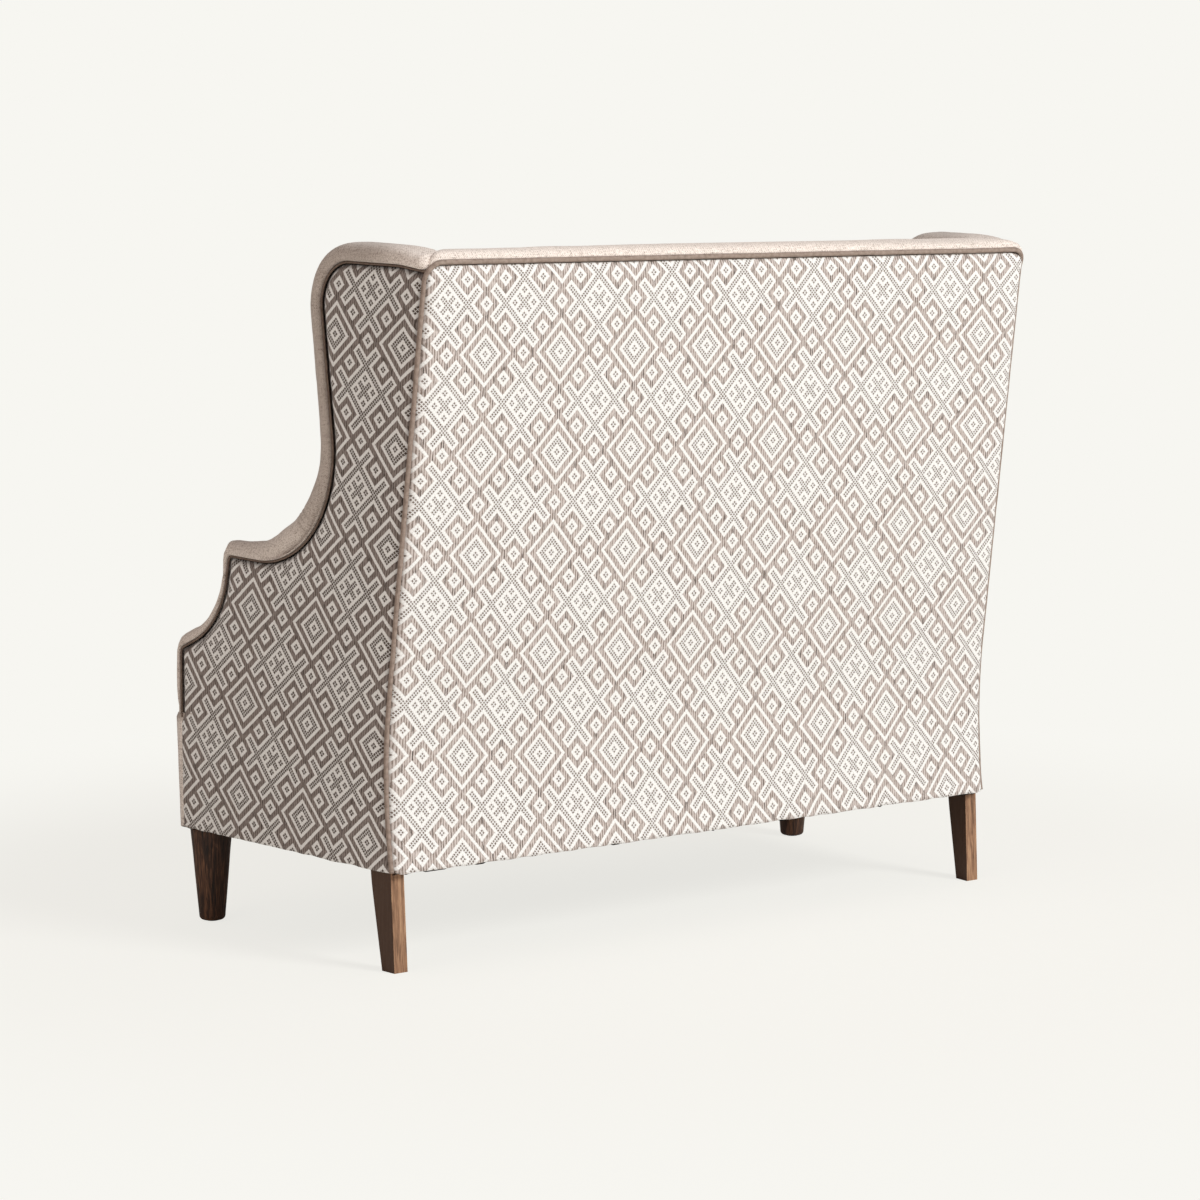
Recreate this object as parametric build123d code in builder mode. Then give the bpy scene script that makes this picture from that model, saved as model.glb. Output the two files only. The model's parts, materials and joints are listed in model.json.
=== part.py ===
from build123d import *
import os
from math import asin, cos, degrees, radians, sin, sqrt, tan

os.makedirs("parts", exist_ok=True)

# Stance. Lengths are in millimetres and angles in degrees.
rear_half_width = 608.0  # centre line to the outside cover, at the waist of the back
flare = 4.9  # each side opens this much towards the front
seat_run = 551.0  # waist of the back to the front of the seat nose
hem_height = 155.0  # floor to the lower edge of the covers and the underside of the frame

# Back
waist_height = 300.0  # the back stands upright here
waist_radius = 900.0  # hollow of the back round its waist
rake = 8.0  # lean of the upper back
back_height = 1070.0  # floor to the welt along the top
back_corner_radius = 25.0  # top corners of the outside back
border_rise = 20.0  # linen border above the top welt
border_inset = 3.0  # its rear face forward of the outside of the back
border_round = 15.0
top_round = 36.0  # front edge of the top border
belly_radius = 600.0
back_pad_top = 80.0  # outside of the back to the face of its pad, at the top
back_pad_waist = 98.0  # the same at the height of the belly
back_belly_height = 720.0
back_pad_crown = 16.0  # the pad is fuller by this much in the middle of the settee
back_pad_low = 400.0  # floor to the tucked lower edge of the pad

# Outline of the outside arm and wing, along its welt. Reaches are measured forward from the waist.
wing_rise = 6.0  # front of the wing's welt above the top of the back
wing_reach = 167.0
wing_nose_radius = 66.0
wing_lean = 5.2  # the wing's front edge falls back by this as it comes down
arm_height = 603.0
arm_tip_rise = 3.0
arm_setback = 143.0  # tip of the arm behind the front of the seat nose
arm_scoop_radius = 165.0  # sweep of the wing into the arm
arm_tip_radius = 14.0
arm_front_lean = 12.4
shoulder_height = 441.0  # front corner, where the arm runs out at the seat
shoulder_slope = 24.2
shoulder_scoop_radius = 150.0
shoulder_radius = 12.0

# Linen rolls round that outline
wing_roll = 29.0  # width of the roll over the wing and the arm
front_roll = 12.0  # width of the linen beyond the welt, from the arm's tip to the front edge
roll_proud = 12.0  # how far the roll stands out from the woven cover
roll_round = 20.0  # rounding of the roll, outside
inner_round = 30.0  # rounding of arm and wing, inside
wall = 78.0  # outside cover to the inside face of arm and wing
linen = 3.0  # linen with its wadding

# Seat
seat_height = 452.0  # floor to the seat, at the front corner
seat_back_height = 444.0  # floor to the seat, at its rear edge
seat_belly = 462.0  # floor to the seat between the two, at the sides
seat_belly_reach = 330.0
seat_belly_radius = 800.0
seat_crown = 14.0  # the seat is higher by this much in its middle
seat_nose_radius = 40.0
seat_rear_reach = 112.3
border_height = 340.0  # floor to the seam under the seat nose
edge_roll_width = 18.0
edge_roll_height = 36.0

# Covers, welts and frame stock
cover = 6.0  # woven cover with its wadding
back_welt_radius = 4.5
side_welt_radius = 3.0
welt_sink = 1.2  # centre of the back welt below the covers' surfaces
side_welt_sink = 1.0
clearance = 0.3
stock = 24.0  # thickness of the frame timber
stile_depth = 45.0
rail_height = 107.0  # seat rails
front_rail_thickness = 34.0
rear_rail_thickness = 28.0
back_rail_height = 55.0
lower_rail_base = 440.0  # floor to the underside of the lower back rail
upright_width = 45.0
brace_width = 28.0
brace_height = 62.0
arm_rail_height = 34.0
arm_rail_drop = 7.0  # arm rail below the welt line
stump_width = 45.0
wing_post_width = 42.0
wing_frame_inset = 10.0  # wing frame inside the welt line
wing_post_return = 107.0  # length of the wing post's bent top
wing_bend_radius = 22.0
backing = 2.0

# Legs
rear_leg_top = 50.0  # depth front to back, at the hem
rear_leg_foot = 30.0
rear_leg_inset = 8.0  # back of the leg forward of the waist line, at the hem
rear_leg_kick = 8.0  # its foot stands back again by this much
rear_leg_bend = 450.0  # radius of that kick
front_leg_inset = 36.0  # leg centre in from the outside cover
front_leg_setback = 32.0  # leg centre behind the frame's front face
front_leg_top = 68.0  # diameter
front_leg_foot = 39.0
front_leg_round = 8.0
glide_diameter = 24.0
glide_height = 5.0
glide_pin = 3.0
glide_pin_length = 18.0
bolt_diameter = 8.0
bolt_length = 70.0
insert_diameter = 12.0
insert_length = 24.0

# Small fittings
dowel_diameter = 8.0
dowel_length = 36.0
rail_dowel_spacing = 46.0
back_dowel_spacing = 28.0
block_length = 72.0
front_block_length = 118.0
block_height = 64.0
screw_diameter = 4.0
screw_head = 8.0
screw_head_height = 3.0
screw_length = 44.0
screw_grip = 20.0  # length of the shank inside the rail
block_screw_offset = 36.0  # from the corner of the rails
front_screw_offset = 74.0
spring_count = 7
spring_spacing = 142.0
spring_width = 52.0
spring_pitch = 26.0
spring_bend = 10.0
spring_wire = 4.0
clip_width = 18.0
clip_depth = 13.0
clip_height = 9.0
hessian = 1.5
strap_count = 5
strap_spacing = 190.0
strap_width = 50.0
strap_thickness = 2.0
dust_cloth = 1.5
dust_inset = 9.0
staple_width = 10.0
staple_wire = 0.7
staple_spacing = 74.0

far = 400.0  # reach of construction faces past the object

# Places that follow from the sizes above
lean = radians(rake)
turn = radians(flare)
frame_height = hem_height
wing_height = back_height + wing_rise
arm_reach = seat_run - arm_setback
front_reach = (seat_run - (wall - inner_round) * sin(turn)) / cos(turn) - front_roll
welt_gap = side_welt_radius + clearance
frame_front = front_reach + welt_gap
rail_top = frame_height + rail_height
stile_inner = cover + stock
pad_plane = stile_inner + backing
back_frame_face = cover + stock + strap_thickness + hessian + clearance
stile_face = cover + stile_depth
border_base = back_height + back_welt_radius + clearance
corner_gap = welt_sink + back_welt_radius + clearance
spring_level = rail_top + clip_height / 2
hessian_base = rail_top + clip_height + clearance
foam_base = hessian_base + hessian
seat_clear = wall + clearance
foam_skin = linen + clearance  # outer face of the linen to the foam under it


def back_y(z, depth=0.0):
    """Place, from the waist, of the surface that lies `depth` inside the outside of the back."""
    radius = waist_radius + depth
    bend_top = waist_height + radius * sin(lean)
    if z <= bend_top:
        return waist_radius - sqrt(radius**2 - (z - waist_height) ** 2)
    return waist_radius - radius * cos(lean) + tan(lean) * (z - bend_top)


# The origin is under the middle of the depth, so the waist stands behind it.
rear_reach = back_y(back_height, welt_sink) + back_welt_radius
waist_y = (seat_run - rear_reach) / 2


def rake_y(z, depth):
    """Place, from the waist, of the raked plane at that depth, carried straight down."""
    radius = waist_radius + depth
    return waist_radius - radius * cos(lean) + tan(lean) * (z - waist_height - radius * sin(lean))


def rake_meets(y, depth):
    """Height at which the raked plane at that depth passes the place `y`."""
    return waist_height + (y - rake_y(waist_height, depth)) / tan(lean)


def side_plane(out=0.0):
    """Plane of the left outside cover: x runs to the rear from the waist, y is up."""
    start = Vector(rear_half_width, waist_y, 0) + Vector(cos(turn), sin(turn), 0) * out
    return Plane(origin=start, x_dir=(-sin(turn), cos(turn), 0), z_dir=(cos(turn), sin(turn), 0))


def right_plane(out=0.0):
    """The same plane on the right."""
    start = Vector(-rear_half_width, waist_y, 0) + Vector(-cos(turn), sin(turn), 0) * out
    return Plane(origin=start, x_dir=(sin(turn), cos(turn), 0), z_dir=(-cos(turn), sin(turn), 0))


def side_x(y, out=0.0):
    """Half width at a place `y` from the waist, on the side plane moved by `out`."""
    return rear_half_width + (out - y * sin(turn)) / cos(turn)


def side_point(along, out, z):
    """Point on the left side from its place in the side plane."""
    return side_plane(out).from_local_coords((along, z, 0))


def level(z):
    """Level plane with its origin under the waist."""
    return Plane(origin=(0, waist_y, z), x_dir=(1, 0, 0), z_dir=(0, 0, 1))


section = Plane(origin=(0, waist_y, 0), x_dir=(0, 1, 0), z_dir=(1, 0, 0))


def face_of(plane, points, radii):
    """Sketch of a closed outline with rounded corners."""
    with BuildSketch(plane) as outline:
        with BuildLine():
            FilletPolyline(points, radius=radii, close=True)
        make_face()
    return outline.sketch


def back_band(inner, outer, low, high):
    """Cross-section between two depths of the back, from one height to another."""
    with BuildSketch(section) as band:
        with BuildLine():
            ends = []
            for depth in (outer, inner):
                radius = waist_radius + depth
                start = degrees(asin((low - waist_height) / radius))
                arc = CenterArc((waist_radius, waist_height), radius, 180 - start, start - rake)
                line = Line(arc @ 1, (back_y(high, depth), high))
                ends.append((arc @ 0, line @ 1))
            Line(ends[0][0], ends[1][0])
            Line(ends[0][1], ends[1][1])
        make_face()
    return band.sketch


def raked_bar(inner, outer, low, high):
    """Cross-section of a bar in the straight, raked part of the back."""
    with BuildSketch(section) as bar:
        with BuildLine():
            Polyline(
                (rake_y(low, outer), low),
                (rake_y(high, outer), high),
                (rake_y(high, inner), high),
                (rake_y(low, inner), low),
                close=True,
            )
        make_face()
    return bar.sketch


def behind_back(depth, high):
    """The whole space behind a given depth of the back, up to a height."""
    with BuildPart() as space:
        extrude(back_band(depth, -far, 0, high), amount=2 * rear_half_width, both=True)
    return space.part


def grown(points, amounts):
    """Move each run of an open outline outwards by its own amount."""
    runs = []
    for start, end, amount in zip(points, points[1:], amounts):
        way = (Vector(*end) - Vector(*start)).normalized()
        shift = Vector(way.Y, -way.X) * amount
        runs.append((Vector(*start) + shift, way))
    moved = [runs[0][0]]
    for (p, a), (q, b) in zip(runs, runs[1:]):
        step = ((q.X - p.X) * b.Y - (q.Y - p.Y) * b.X) / (a.X * b.Y - a.Y * b.X)
        moved.append(p + a * step)
    last_shift = runs[-1][0] - Vector(*points[-2])
    moved.append(Vector(*points[-1]) + last_shift)
    return [(p.X, p.Y) for p in moved]


def side_outline(top, front, start):
    """Points and corner radii of the arm and wing outline, moved out from the welt line."""
    fall = (wing_height - back_height) / (wing_reach + back_y(back_height))
    scoop_reach = wing_reach - tan(radians(wing_lean)) * (wing_height - arm_height)
    tip = (-arm_reach, arm_height + arm_tip_rise)
    tip_run = tan(radians(arm_front_lean))
    slope = tan(radians(shoulder_slope))
    foot = tip[0] - tip_run * (tip[1] - shoulder_height - slope * front_reach)
    foot = foot / (1 - tip_run * slope)
    points = [
        (start, wing_height - fall * (start + wing_reach)),
        (-wing_reach, wing_height),
        (-scoop_reach, arm_height),
        tip,
        (foot, shoulder_height + slope * (foot + front_reach)),
        (-front_reach, shoulder_height),
        (-front_reach, hem_height),
    ]
    radii = [
        wing_nose_radius + top,
        arm_scoop_radius - top,
        arm_tip_radius + (top + front) / 2,
        shoulder_scoop_radius - front,
        shoulder_radius + front,
    ]
    return grown(points, (top, top, top, front, front, front)), radii


def side_face(out, outline, low):
    """Closed sketch of an arm and wing outline on the side plane, down to a height."""
    points, radii = outline
    points = points[:-1] + [(points[-1][0], low), (points[0][0], low)]
    return face_of(side_plane(out), points, [0] + radii + [0, 0])


def fan_sections(outline, shares=(-1, -0.5, 0, 0.5, 1)):
    """Cross-sections of a pad between the two sides, fanned with the flare."""
    half = rear_half_width - seat_clear / cos(turn)
    sketches = []
    for share in shares:
        angle = turn * share
        place = Plane(
            origin=(half * share, waist_y, 0),
            x_dir=(-sin(angle), cos(angle), 0),
            z_dir=(cos(angle), sin(angle), 0),
        )
        points, radii = outline(1 - share**2)
        sketches.append(face_of(place, [(y / cos(angle), z) for y, z in points], radii))
    return sketches


def keep(piece, name):
    """Label a piece and write it."""
    piece.part.label = name
    export_step(piece.part, f"parts/{name}.step")


def keep_pair(piece, name):
    """Write a left-hand piece and its mirror image on the right."""
    keep(piece, name + "_left")
    with BuildPart() as other:
        mirror(piece.part, about=Plane.YZ)
    keep(other, name + "_right")


# Dowels of the frame: two at each end of a rail, one at each end of the lighter members
post_size = 2 * (front_leg_inset - cover)
post_back = frame_front - front_leg_setback - post_size / 2
arm_rail_top = arm_height - arm_rail_drop
arm_rail_base = arm_rail_top - arm_rail_height
arm_rail_mid = (arm_rail_top + arm_rail_base) / 2
stump_back = arm_reach - wing_frame_inset - stump_width
frame_mid = -cover - stock / 2
rail_levels = [frame_height + (rail_height + s * rail_dowel_spacing) / 2 for s in (-1, 1)]
top_rail_top = back_height - back_welt_radius
top_rail_mid = top_rail_top - back_rail_height / 2
lower_rail_mid = lower_rail_base + back_rail_height / 2
wing_line = side_outline(-wing_frame_inset, 0, far)[0]
wing_fall = (wing_line[2][0] - wing_line[1][0]) / (wing_line[1][1] - wing_line[2][1])


def wing_front(z):
    """Front of the wing frame at a height, from the waist."""
    return wing_line[1][0] + wing_fall * (wing_line[1][1] - z)


wing_post_end = wing_line[1][0] + wing_post_return
wing_rail_mid = wing_line[1][1] - wing_post_width / 2
along_x = Vector(1, 0, 0)
along_side = side_plane().x_dir
upward = Vector(0, 0, 1)

dowel_places = []
for z in rail_levels:
    y = -rear_leg_inset - rear_rail_thickness / 2
    dowel_places.append((side_point(y, -stile_inner, z), along_x))
    y = -frame_front + front_rail_thickness / 2
    dowel_places.append((Vector(side_x(y, -cover - post_size), waist_y + y, z), along_x))
    dowel_places.append((side_point(-rear_leg_inset - rear_leg_top, frame_mid, z), along_side))
    dowel_places.append((side_point(-post_back / cos(turn), frame_mid, z), along_side))
for middle in (top_rail_mid, lower_rail_mid):
    for z in (middle - back_dowel_spacing / 2, middle + back_dowel_spacing / 2):
        y = back_y(z, cover + stock / 2)
        dowel_places.append((Vector(side_x(y, -stile_inner), waist_y + y, z), along_x))
stump_mid = -stump_back - stump_width / 2
wing_post_mid = wing_front(arm_rail_top) + wing_post_width / 2
dowel_places += [
    (side_point(back_y(arm_rail_mid, stile_face), frame_mid, arm_rail_mid), along_side),
    (side_point(back_y(wing_rail_mid, stile_face), frame_mid, wing_rail_mid), along_side),
    (side_point(wing_post_end, frame_mid, wing_rail_mid), along_side),
    (side_point(stump_mid, frame_mid, rail_top), upward),
    (side_point(stump_mid, frame_mid, arm_rail_base), upward),
    (side_point(wing_post_mid, frame_mid, arm_rail_top), upward),
]
with BuildPart() as frame_dowels:
    for place, way in dowel_places:
        with Locations(Plane(origin=place, z_dir=way)):
            Cylinder(dowel_diameter / 2, dowel_length)
    mirror(about=Plane.YZ)
    for z in (lower_rail_base + back_rail_height, top_rail_top - back_rail_height):
        place = Vector(0, waist_y + back_y(z, cover + stock / 2), z)
        with Locations(Plane(origin=place, z_dir=(0, sin(lean), cos(lean)))):
            Cylinder(dowel_diameter / 2, dowel_length)
keep(frame_dowels, "frame_dowels")

# Corner blocks: a triangle in each corner of the seat frame
front_corner_y = -frame_front + front_rail_thickness
rear_corner_y = -rear_leg_inset - rear_rail_thickness
block_base = frame_height + (rail_height - block_height) / 2
block_mid = block_base + block_height / 2
rail_face = side_plane(-stile_inner)
side_way = Vector(*along_side)


def block_corners(corner_y, length, way):
    """Corner of the rails, then the ends of the block along the side and along the cross rail."""
    corner = Vector(side_x(corner_y, -stile_inner), corner_y, 0)
    return [corner, corner + side_way * (way * length), corner - along_x * length]


front_block = block_corners(front_corner_y, front_block_length, 1)
rear_block = block_corners(rear_corner_y, block_length, -1)


def screw_seats(corners, offset, way):
    """Head seat and direction of the two screws of a block."""
    corner = corners[0] + Vector(0, waist_y, block_mid)
    outward = Vector(cos(turn), sin(turn), 0)
    cross = Vector(0, way, 0)
    into_side = corner + side_way * (way * offset) - outward * (screw_length - screw_grip)
    into_cross = corner - along_x * offset + cross * (screw_length - screw_grip)
    return [(into_side, outward), (into_cross, -cross)]


block_seats = screw_seats(front_block, front_screw_offset, 1)
block_seats += screw_seats(rear_block, block_screw_offset, -1)

with BuildPart() as block_screws:
    for seat, way in block_seats:
        with BuildSketch(Plane(origin=seat, z_dir=way)):
            Circle(screw_diameter / 2)
        extrude(amount=screw_length)
        with BuildSketch(Plane(origin=seat, z_dir=way)):
            Circle(screw_head / 2)
        extrude(amount=-screw_head_height)
    mirror(about=Plane.YZ)
keep(block_screws, "block_screws")

# Hanger bolts and inserts of the front legs, and the glides under them
leg_y = -frame_front + front_leg_setback
leg_centre = Vector(side_x(leg_y, -front_leg_inset), waist_y + leg_y, 0)

with BuildPart() as leg_hanger_bolts:
    with Locations(leg_centre + upward * frame_height):
        Cylinder(bolt_diameter / 2, bolt_length)
    mirror(about=Plane.YZ)
keep(leg_hanger_bolts, "leg_hanger_bolts")

with BuildPart() as leg_insert_nuts:
    with BuildSketch(Plane(origin=leg_centre + upward * frame_height)):
        Circle(insert_diameter / 2)
        Circle(bolt_diameter / 2, mode=Mode.SUBTRACT)
    extrude(amount=insert_length)
    mirror(about=Plane.YZ)
keep(leg_insert_nuts, "leg_insert_nuts")

with BuildPart() as leg_glides:
    with BuildSketch(Plane(origin=leg_centre)):
        Circle(glide_diameter / 2)
    extrude(amount=glide_height)
    chamfer(leg_glides.edges().group_by(Axis.Z)[0], glide_height / 3)
    with BuildSketch(Plane(origin=leg_centre + upward * glide_height)):
        Circle(glide_pin / 2)
    extrude(amount=glide_pin_length)
    mirror(about=Plane.YZ)
keep(leg_glides, "leg_glides")

with BuildPart() as front_leg:
    with BuildSketch(Plane(origin=leg_centre, x_dir=(1, 0, 0), z_dir=(0, -1, 0))):
        with BuildLine():
            FilletPolyline(
                (0, glide_height),
                (front_leg_foot / 2, glide_height),
                (front_leg_top / 2, frame_height),
                (0, frame_height),
                radius=[front_leg_round, 0],
            )
            Line((0, frame_height), (0, glide_height))
        make_face()
    revolve(axis=Axis(leg_centre, (0, 0, 1)))
    add(leg_hanger_bolts.part, mode=Mode.SUBTRACT)
    add(leg_glides.part, mode=Mode.SUBTRACT)
keep_pair(front_leg, "front_leg")

# Rear stiles: raked leg and stile in one piece
with BuildPart() as rear_stile:
    foot_back = rear_leg_kick - rear_leg_inset
    leg_front = -rear_leg_inset - rear_leg_top
    with BuildSketch(section):
        with BuildLine():
            FilletPolyline(
                (foot_back, 0),
                (-rear_leg_inset, hem_height),
                (-rear_leg_inset, rake_meets(-rear_leg_inset, cover)),
                (back_y(top_rail_top, cover), top_rail_top),
                (back_y(top_rail_top, stile_face), top_rail_top),
                (leg_front, rake_meets(leg_front, stile_face)),
                (leg_front, hem_height),
                (foot_back - rear_leg_foot, 0),
                radius=[0, rear_leg_bend, waist_radius, 0, 0, waist_radius, rear_leg_bend, 0],
                close=True,
            )
        make_face()
    extrude(amount=2 * rear_half_width)
    split(bisect_by=side_plane(-cover), keep=Keep.BOTTOM)
    split(bisect_by=side_plane(-stile_inner), keep=Keep.TOP)
    add(frame_dowels.part, mode=Mode.SUBTRACT)
keep_pair(rear_stile, "rear_stile")

# Front posts, over the front legs
post_front_edge = -frame_front
with BuildPart() as front_post:
    with BuildSketch(level(frame_height)):
        with BuildLine():
            Polyline(
                (side_x(post_front_edge, -cover), post_front_edge),
                (side_x(post_front_edge, -cover - post_size), post_front_edge),
                (side_x(-post_back, -cover - post_size), -post_back),
                (side_x(-post_back, -cover), -post_back),
                close=True,
            )
        make_face()
    extrude(amount=border_height - frame_height)
    add(frame_dowels.part, mode=Mode.SUBTRACT)
    add(leg_hanger_bolts.part, mode=Mode.SUBTRACT)
    add(leg_insert_nuts.part, mode=Mode.SUBTRACT)
keep_pair(front_post, "front_post")

# Seat rails
with BuildPart() as side_seat_rail:
    with BuildSketch(level(frame_height)):
        with BuildLine():
            rail_rear = -rear_leg_inset - rear_leg_top
            Polyline(
                (side_x(-post_back, -cover), -post_back),
                (side_x(-post_back, -stile_inner), -post_back),
                (side_x(rail_rear, -stile_inner), rail_rear),
                (side_x(rail_rear, -cover), rail_rear),
                close=True,
            )
        make_face()
    extrude(amount=rail_height)
    add(rear_stile.part, mode=Mode.SUBTRACT)
    add(frame_dowels.part, mode=Mode.SUBTRACT)
    add(block_screws.part, mode=Mode.SUBTRACT)
keep_pair(side_seat_rail, "side_seat_rail")

with BuildPart() as front_seat_rail:
    with BuildSketch(level(frame_height)):
        with Locations((0, -frame_front + front_rail_thickness / 2)):
            Rectangle(3 * rear_half_width, front_rail_thickness)
    extrude(amount=rail_height)
    split(bisect_by=side_plane(-cover - post_size), keep=Keep.BOTTOM)
    split(bisect_by=right_plane(-cover - post_size), keep=Keep.BOTTOM)
    add(frame_dowels.part, mode=Mode.SUBTRACT)
    add(block_screws.part, mode=Mode.SUBTRACT)
keep(front_seat_rail, "front_seat_rail")

# The rear rail is sawn to the hollow of the back
with BuildPart() as rear_seat_rail:
    with BuildSketch(section):
        with BuildLine():
            hollow = waist_radius + cover
            low_angle = degrees(asin((frame_height - waist_height) / hollow))
            high_angle = degrees(asin((rail_top - waist_height) / hollow))
            sawn = CenterArc(
                (waist_radius, waist_height), hollow, 180 - low_angle, low_angle - high_angle
            )
            Polyline(sawn @ 1, (rear_corner_y, rail_top), (rear_corner_y, frame_height), sawn @ 0)
        make_face()
    extrude(amount=2 * rear_half_width, both=True)
    split(bisect_by=side_plane(-stile_inner), keep=Keep.BOTTOM)
    split(bisect_by=right_plane(-stile_inner), keep=Keep.BOTTOM)
    add(frame_dowels.part, mode=Mode.SUBTRACT)
    add(block_screws.part, mode=Mode.SUBTRACT)
keep(rear_seat_rail, "rear_seat_rail")

with BuildPart() as seat_centre_brace:
    brace_run = rear_corner_y - front_corner_y
    with BuildSketch(level(frame_height)):
        with Locations((0, front_corner_y + brace_run / 2)):
            Rectangle(brace_width, brace_run)
    extrude(amount=brace_height)
keep(seat_centre_brace, "seat_centre_brace")

with BuildPart() as corner_blocks:
    for corners in (front_block, rear_block):
        with BuildSketch(level(block_base)):
            with BuildLine():
                Polyline([(p.X, p.Y) for p in corners], close=True)
            make_face()
        extrude(amount=block_height)
    for seat, way in block_seats:
        with BuildSketch(Plane(origin=seat, z_dir=way)):
            Circle(screw_head / 2)
        extrude(amount=-block_length, mode=Mode.SUBTRACT)
    for fitting in (front_post, leg_hanger_bolts, leg_insert_nuts, frame_dowels, block_screws):
        add(fitting.part, mode=Mode.SUBTRACT)
    mirror(about=Plane.YZ)
keep(corner_blocks, "corner_blocks")

# Back frame: two rails between the stiles, an upright between the rails
for low, name in (
    (top_rail_top - back_rail_height, "back_top_rail"),
    (lower_rail_base, "back_lower_rail"),
):
    with BuildPart() as back_rail:
        bar = raked_bar(cover + stock, cover, low, low + back_rail_height)
        extrude(bar, amount=2 * rear_half_width, both=True)
        split(bisect_by=side_plane(-stile_inner), keep=Keep.BOTTOM)
        split(bisect_by=right_plane(-stile_inner), keep=Keep.BOTTOM)
        add(frame_dowels.part, mode=Mode.SUBTRACT)
    keep(back_rail, name)

with BuildPart() as back_centre_upright:
    upright_low = lower_rail_base + back_rail_height
    upright_high = top_rail_top - back_rail_height
    bar = raked_bar(cover + stock, cover, upright_low, upright_high)
    extrude(bar, amount=upright_width / 2, both=True)
    add(frame_dowels.part, mode=Mode.SUBTRACT)
keep(back_centre_upright, "back_centre_upright")

# Arm and wing frame, in one layer inside the woven cover
before_stile = behind_back(stile_face, 2 * back_height)

with BuildPart() as arm_stump:
    with BuildSketch(side_plane(-cover)):
        with Locations((stump_mid, (rail_top + arm_rail_base) / 2)):
            Rectangle(stump_width, arm_rail_base - rail_top)
    extrude(amount=-stock)
    add(frame_dowels.part, mode=Mode.SUBTRACT)
keep_pair(arm_stump, "arm_stump")

with BuildPart() as arm_rail:
    with BuildSketch(side_plane(-cover)):
        with BuildLine():
            Polyline(
                (-stump_back - stump_width, arm_rail_base),
                (far, arm_rail_base),
                (far, arm_rail_top),
                (-stump_back - stump_width, arm_rail_top),
                close=True,
            )
        make_face()
    extrude(amount=-stock)
    add(before_stile, mode=Mode.SUBTRACT)
    add(frame_dowels.part, mode=Mode.SUBTRACT)
keep_pair(arm_rail, "arm_rail")

wing_top_line = wing_line[1][1]
wing_top_fall = (wing_line[1][1] - wing_line[0][1]) / (wing_line[0][0] - wing_line[1][0])
wing_end_top = wing_top_line - wing_top_fall * wing_post_return

with BuildPart() as wing_post:
    inner_line = wing_front(wing_top_line - wing_post_width) + wing_post_width
    shape = face_of(
        side_plane(-cover),
        [
            (wing_front(arm_rail_top), arm_rail_top),
            (wing_line[1][0], wing_top_line),
            (wing_post_end, wing_end_top),
            (wing_post_end, wing_end_top - wing_post_width),
            (inner_line, wing_top_line - wing_post_width),
            (wing_front(arm_rail_top) + wing_post_width, arm_rail_top),
        ],
        [0, wing_nose_radius - wing_frame_inset, 0, 0, wing_bend_radius, 0],
    )
    extrude(shape, amount=-stock)
    add(frame_dowels.part, mode=Mode.SUBTRACT)
keep_pair(wing_post, "wing_post")

with BuildPart() as wing_top_rail:
    with BuildSketch(side_plane(-cover)):
        with BuildLine():
            Polyline(
                (wing_post_end, wing_end_top),
                (wing_line[0][0], wing_line[0][1]),
                (wing_line[0][0], wing_line[0][1] - wing_post_width),
                (wing_post_end, wing_end_top - wing_post_width),
                close=True,
            )
        make_face()
    extrude(amount=-stock)
    add(before_stile, mode=Mode.SUBTRACT)
    add(frame_dowels.part, mode=Mode.SUBTRACT)
keep_pair(wing_top_rail, "wing_top_rail")

with BuildPart() as arm_wing_backing:
    inside_welt = side_outline(-welt_gap, -welt_gap, far)
    extrude(side_face(-stile_inner, inside_welt, border_height), amount=-backing)
    add(before_stile, mode=Mode.SUBTRACT)
keep_pair(arm_wing_backing, "arm_wing_backing")

# Seat springs: zigzag wires from rail to rail, in clips on the rails' tops
front_clip_y = front_corner_y - clip_depth / 2
rear_clip_y = rear_corner_y + clip_depth / 2
clip_run = clip_depth / 2 + spring_bend + spring_wire
zigzag_start = front_clip_y + clip_run
zigzag_end = rear_clip_y - clip_run
turns = round((zigzag_end - zigzag_start) / spring_pitch)
pitch = (zigzag_end - zigzag_start) / turns
spring_places = [spring_spacing * (i - (spring_count - 1) / 2) for i in range(spring_count)]

with BuildPart() as seat_springs:
    for x in spring_places:
        points = [(x, front_clip_y), (x, zigzag_start)]
        for i in range(turns):
            edge = x + (spring_width / 2 if i % 2 else -spring_width / 2)
            points += [(edge, zigzag_start + i * pitch), (edge, zigzag_start + (i + 1) * pitch)]
        points += [(x, zigzag_end), (x, rear_clip_y)]
        with BuildLine(level(spring_level)) as wire:
            FilletPolyline(points, radius=spring_bend)
        with BuildSketch(Plane(origin=wire.line @ 0, z_dir=wire.line % 0)):
            Circle(spring_wire / 2)
        sweep(path=wire.wire())
keep(seat_springs, "seat_springs")

with BuildPart() as spring_clips:
    for x in spring_places:
        for y in (front_clip_y, rear_clip_y):
            with BuildSketch(level(rail_top)):
                with Locations((x, y)):
                    Rectangle(clip_width, clip_depth)
            extrude(amount=clip_height)
            with BuildSketch(Plane(origin=(x, waist_y + y, spring_level), z_dir=(0, 1, 0))):
                Circle(spring_wire / 2)
            extrude(amount=clip_depth, both=True, mode=Mode.SUBTRACT)
keep(spring_clips, "spring_clips")

edge_roll_back = -frame_front + edge_roll_width

with BuildPart() as seat_hessian:
    with BuildSketch(level(hessian_base)):
        with BuildLine():
            front_y = edge_roll_back + clearance
            ends = [(side_x(y, -pad_plane), y) for y in (front_y, rear_corner_y)]
            Polyline(*ends, (-ends[1][0], ends[1][1]), (-ends[0][0], ends[0][1]), close=True)
        make_face()
    extrude(amount=hessian)
    add(front_post.part, mode=Mode.SUBTRACT)
    mirror(seat_hessian.part, about=Plane.YZ, mode=Mode.INTERSECT)
keep(seat_hessian, "seat_hessian")

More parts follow.
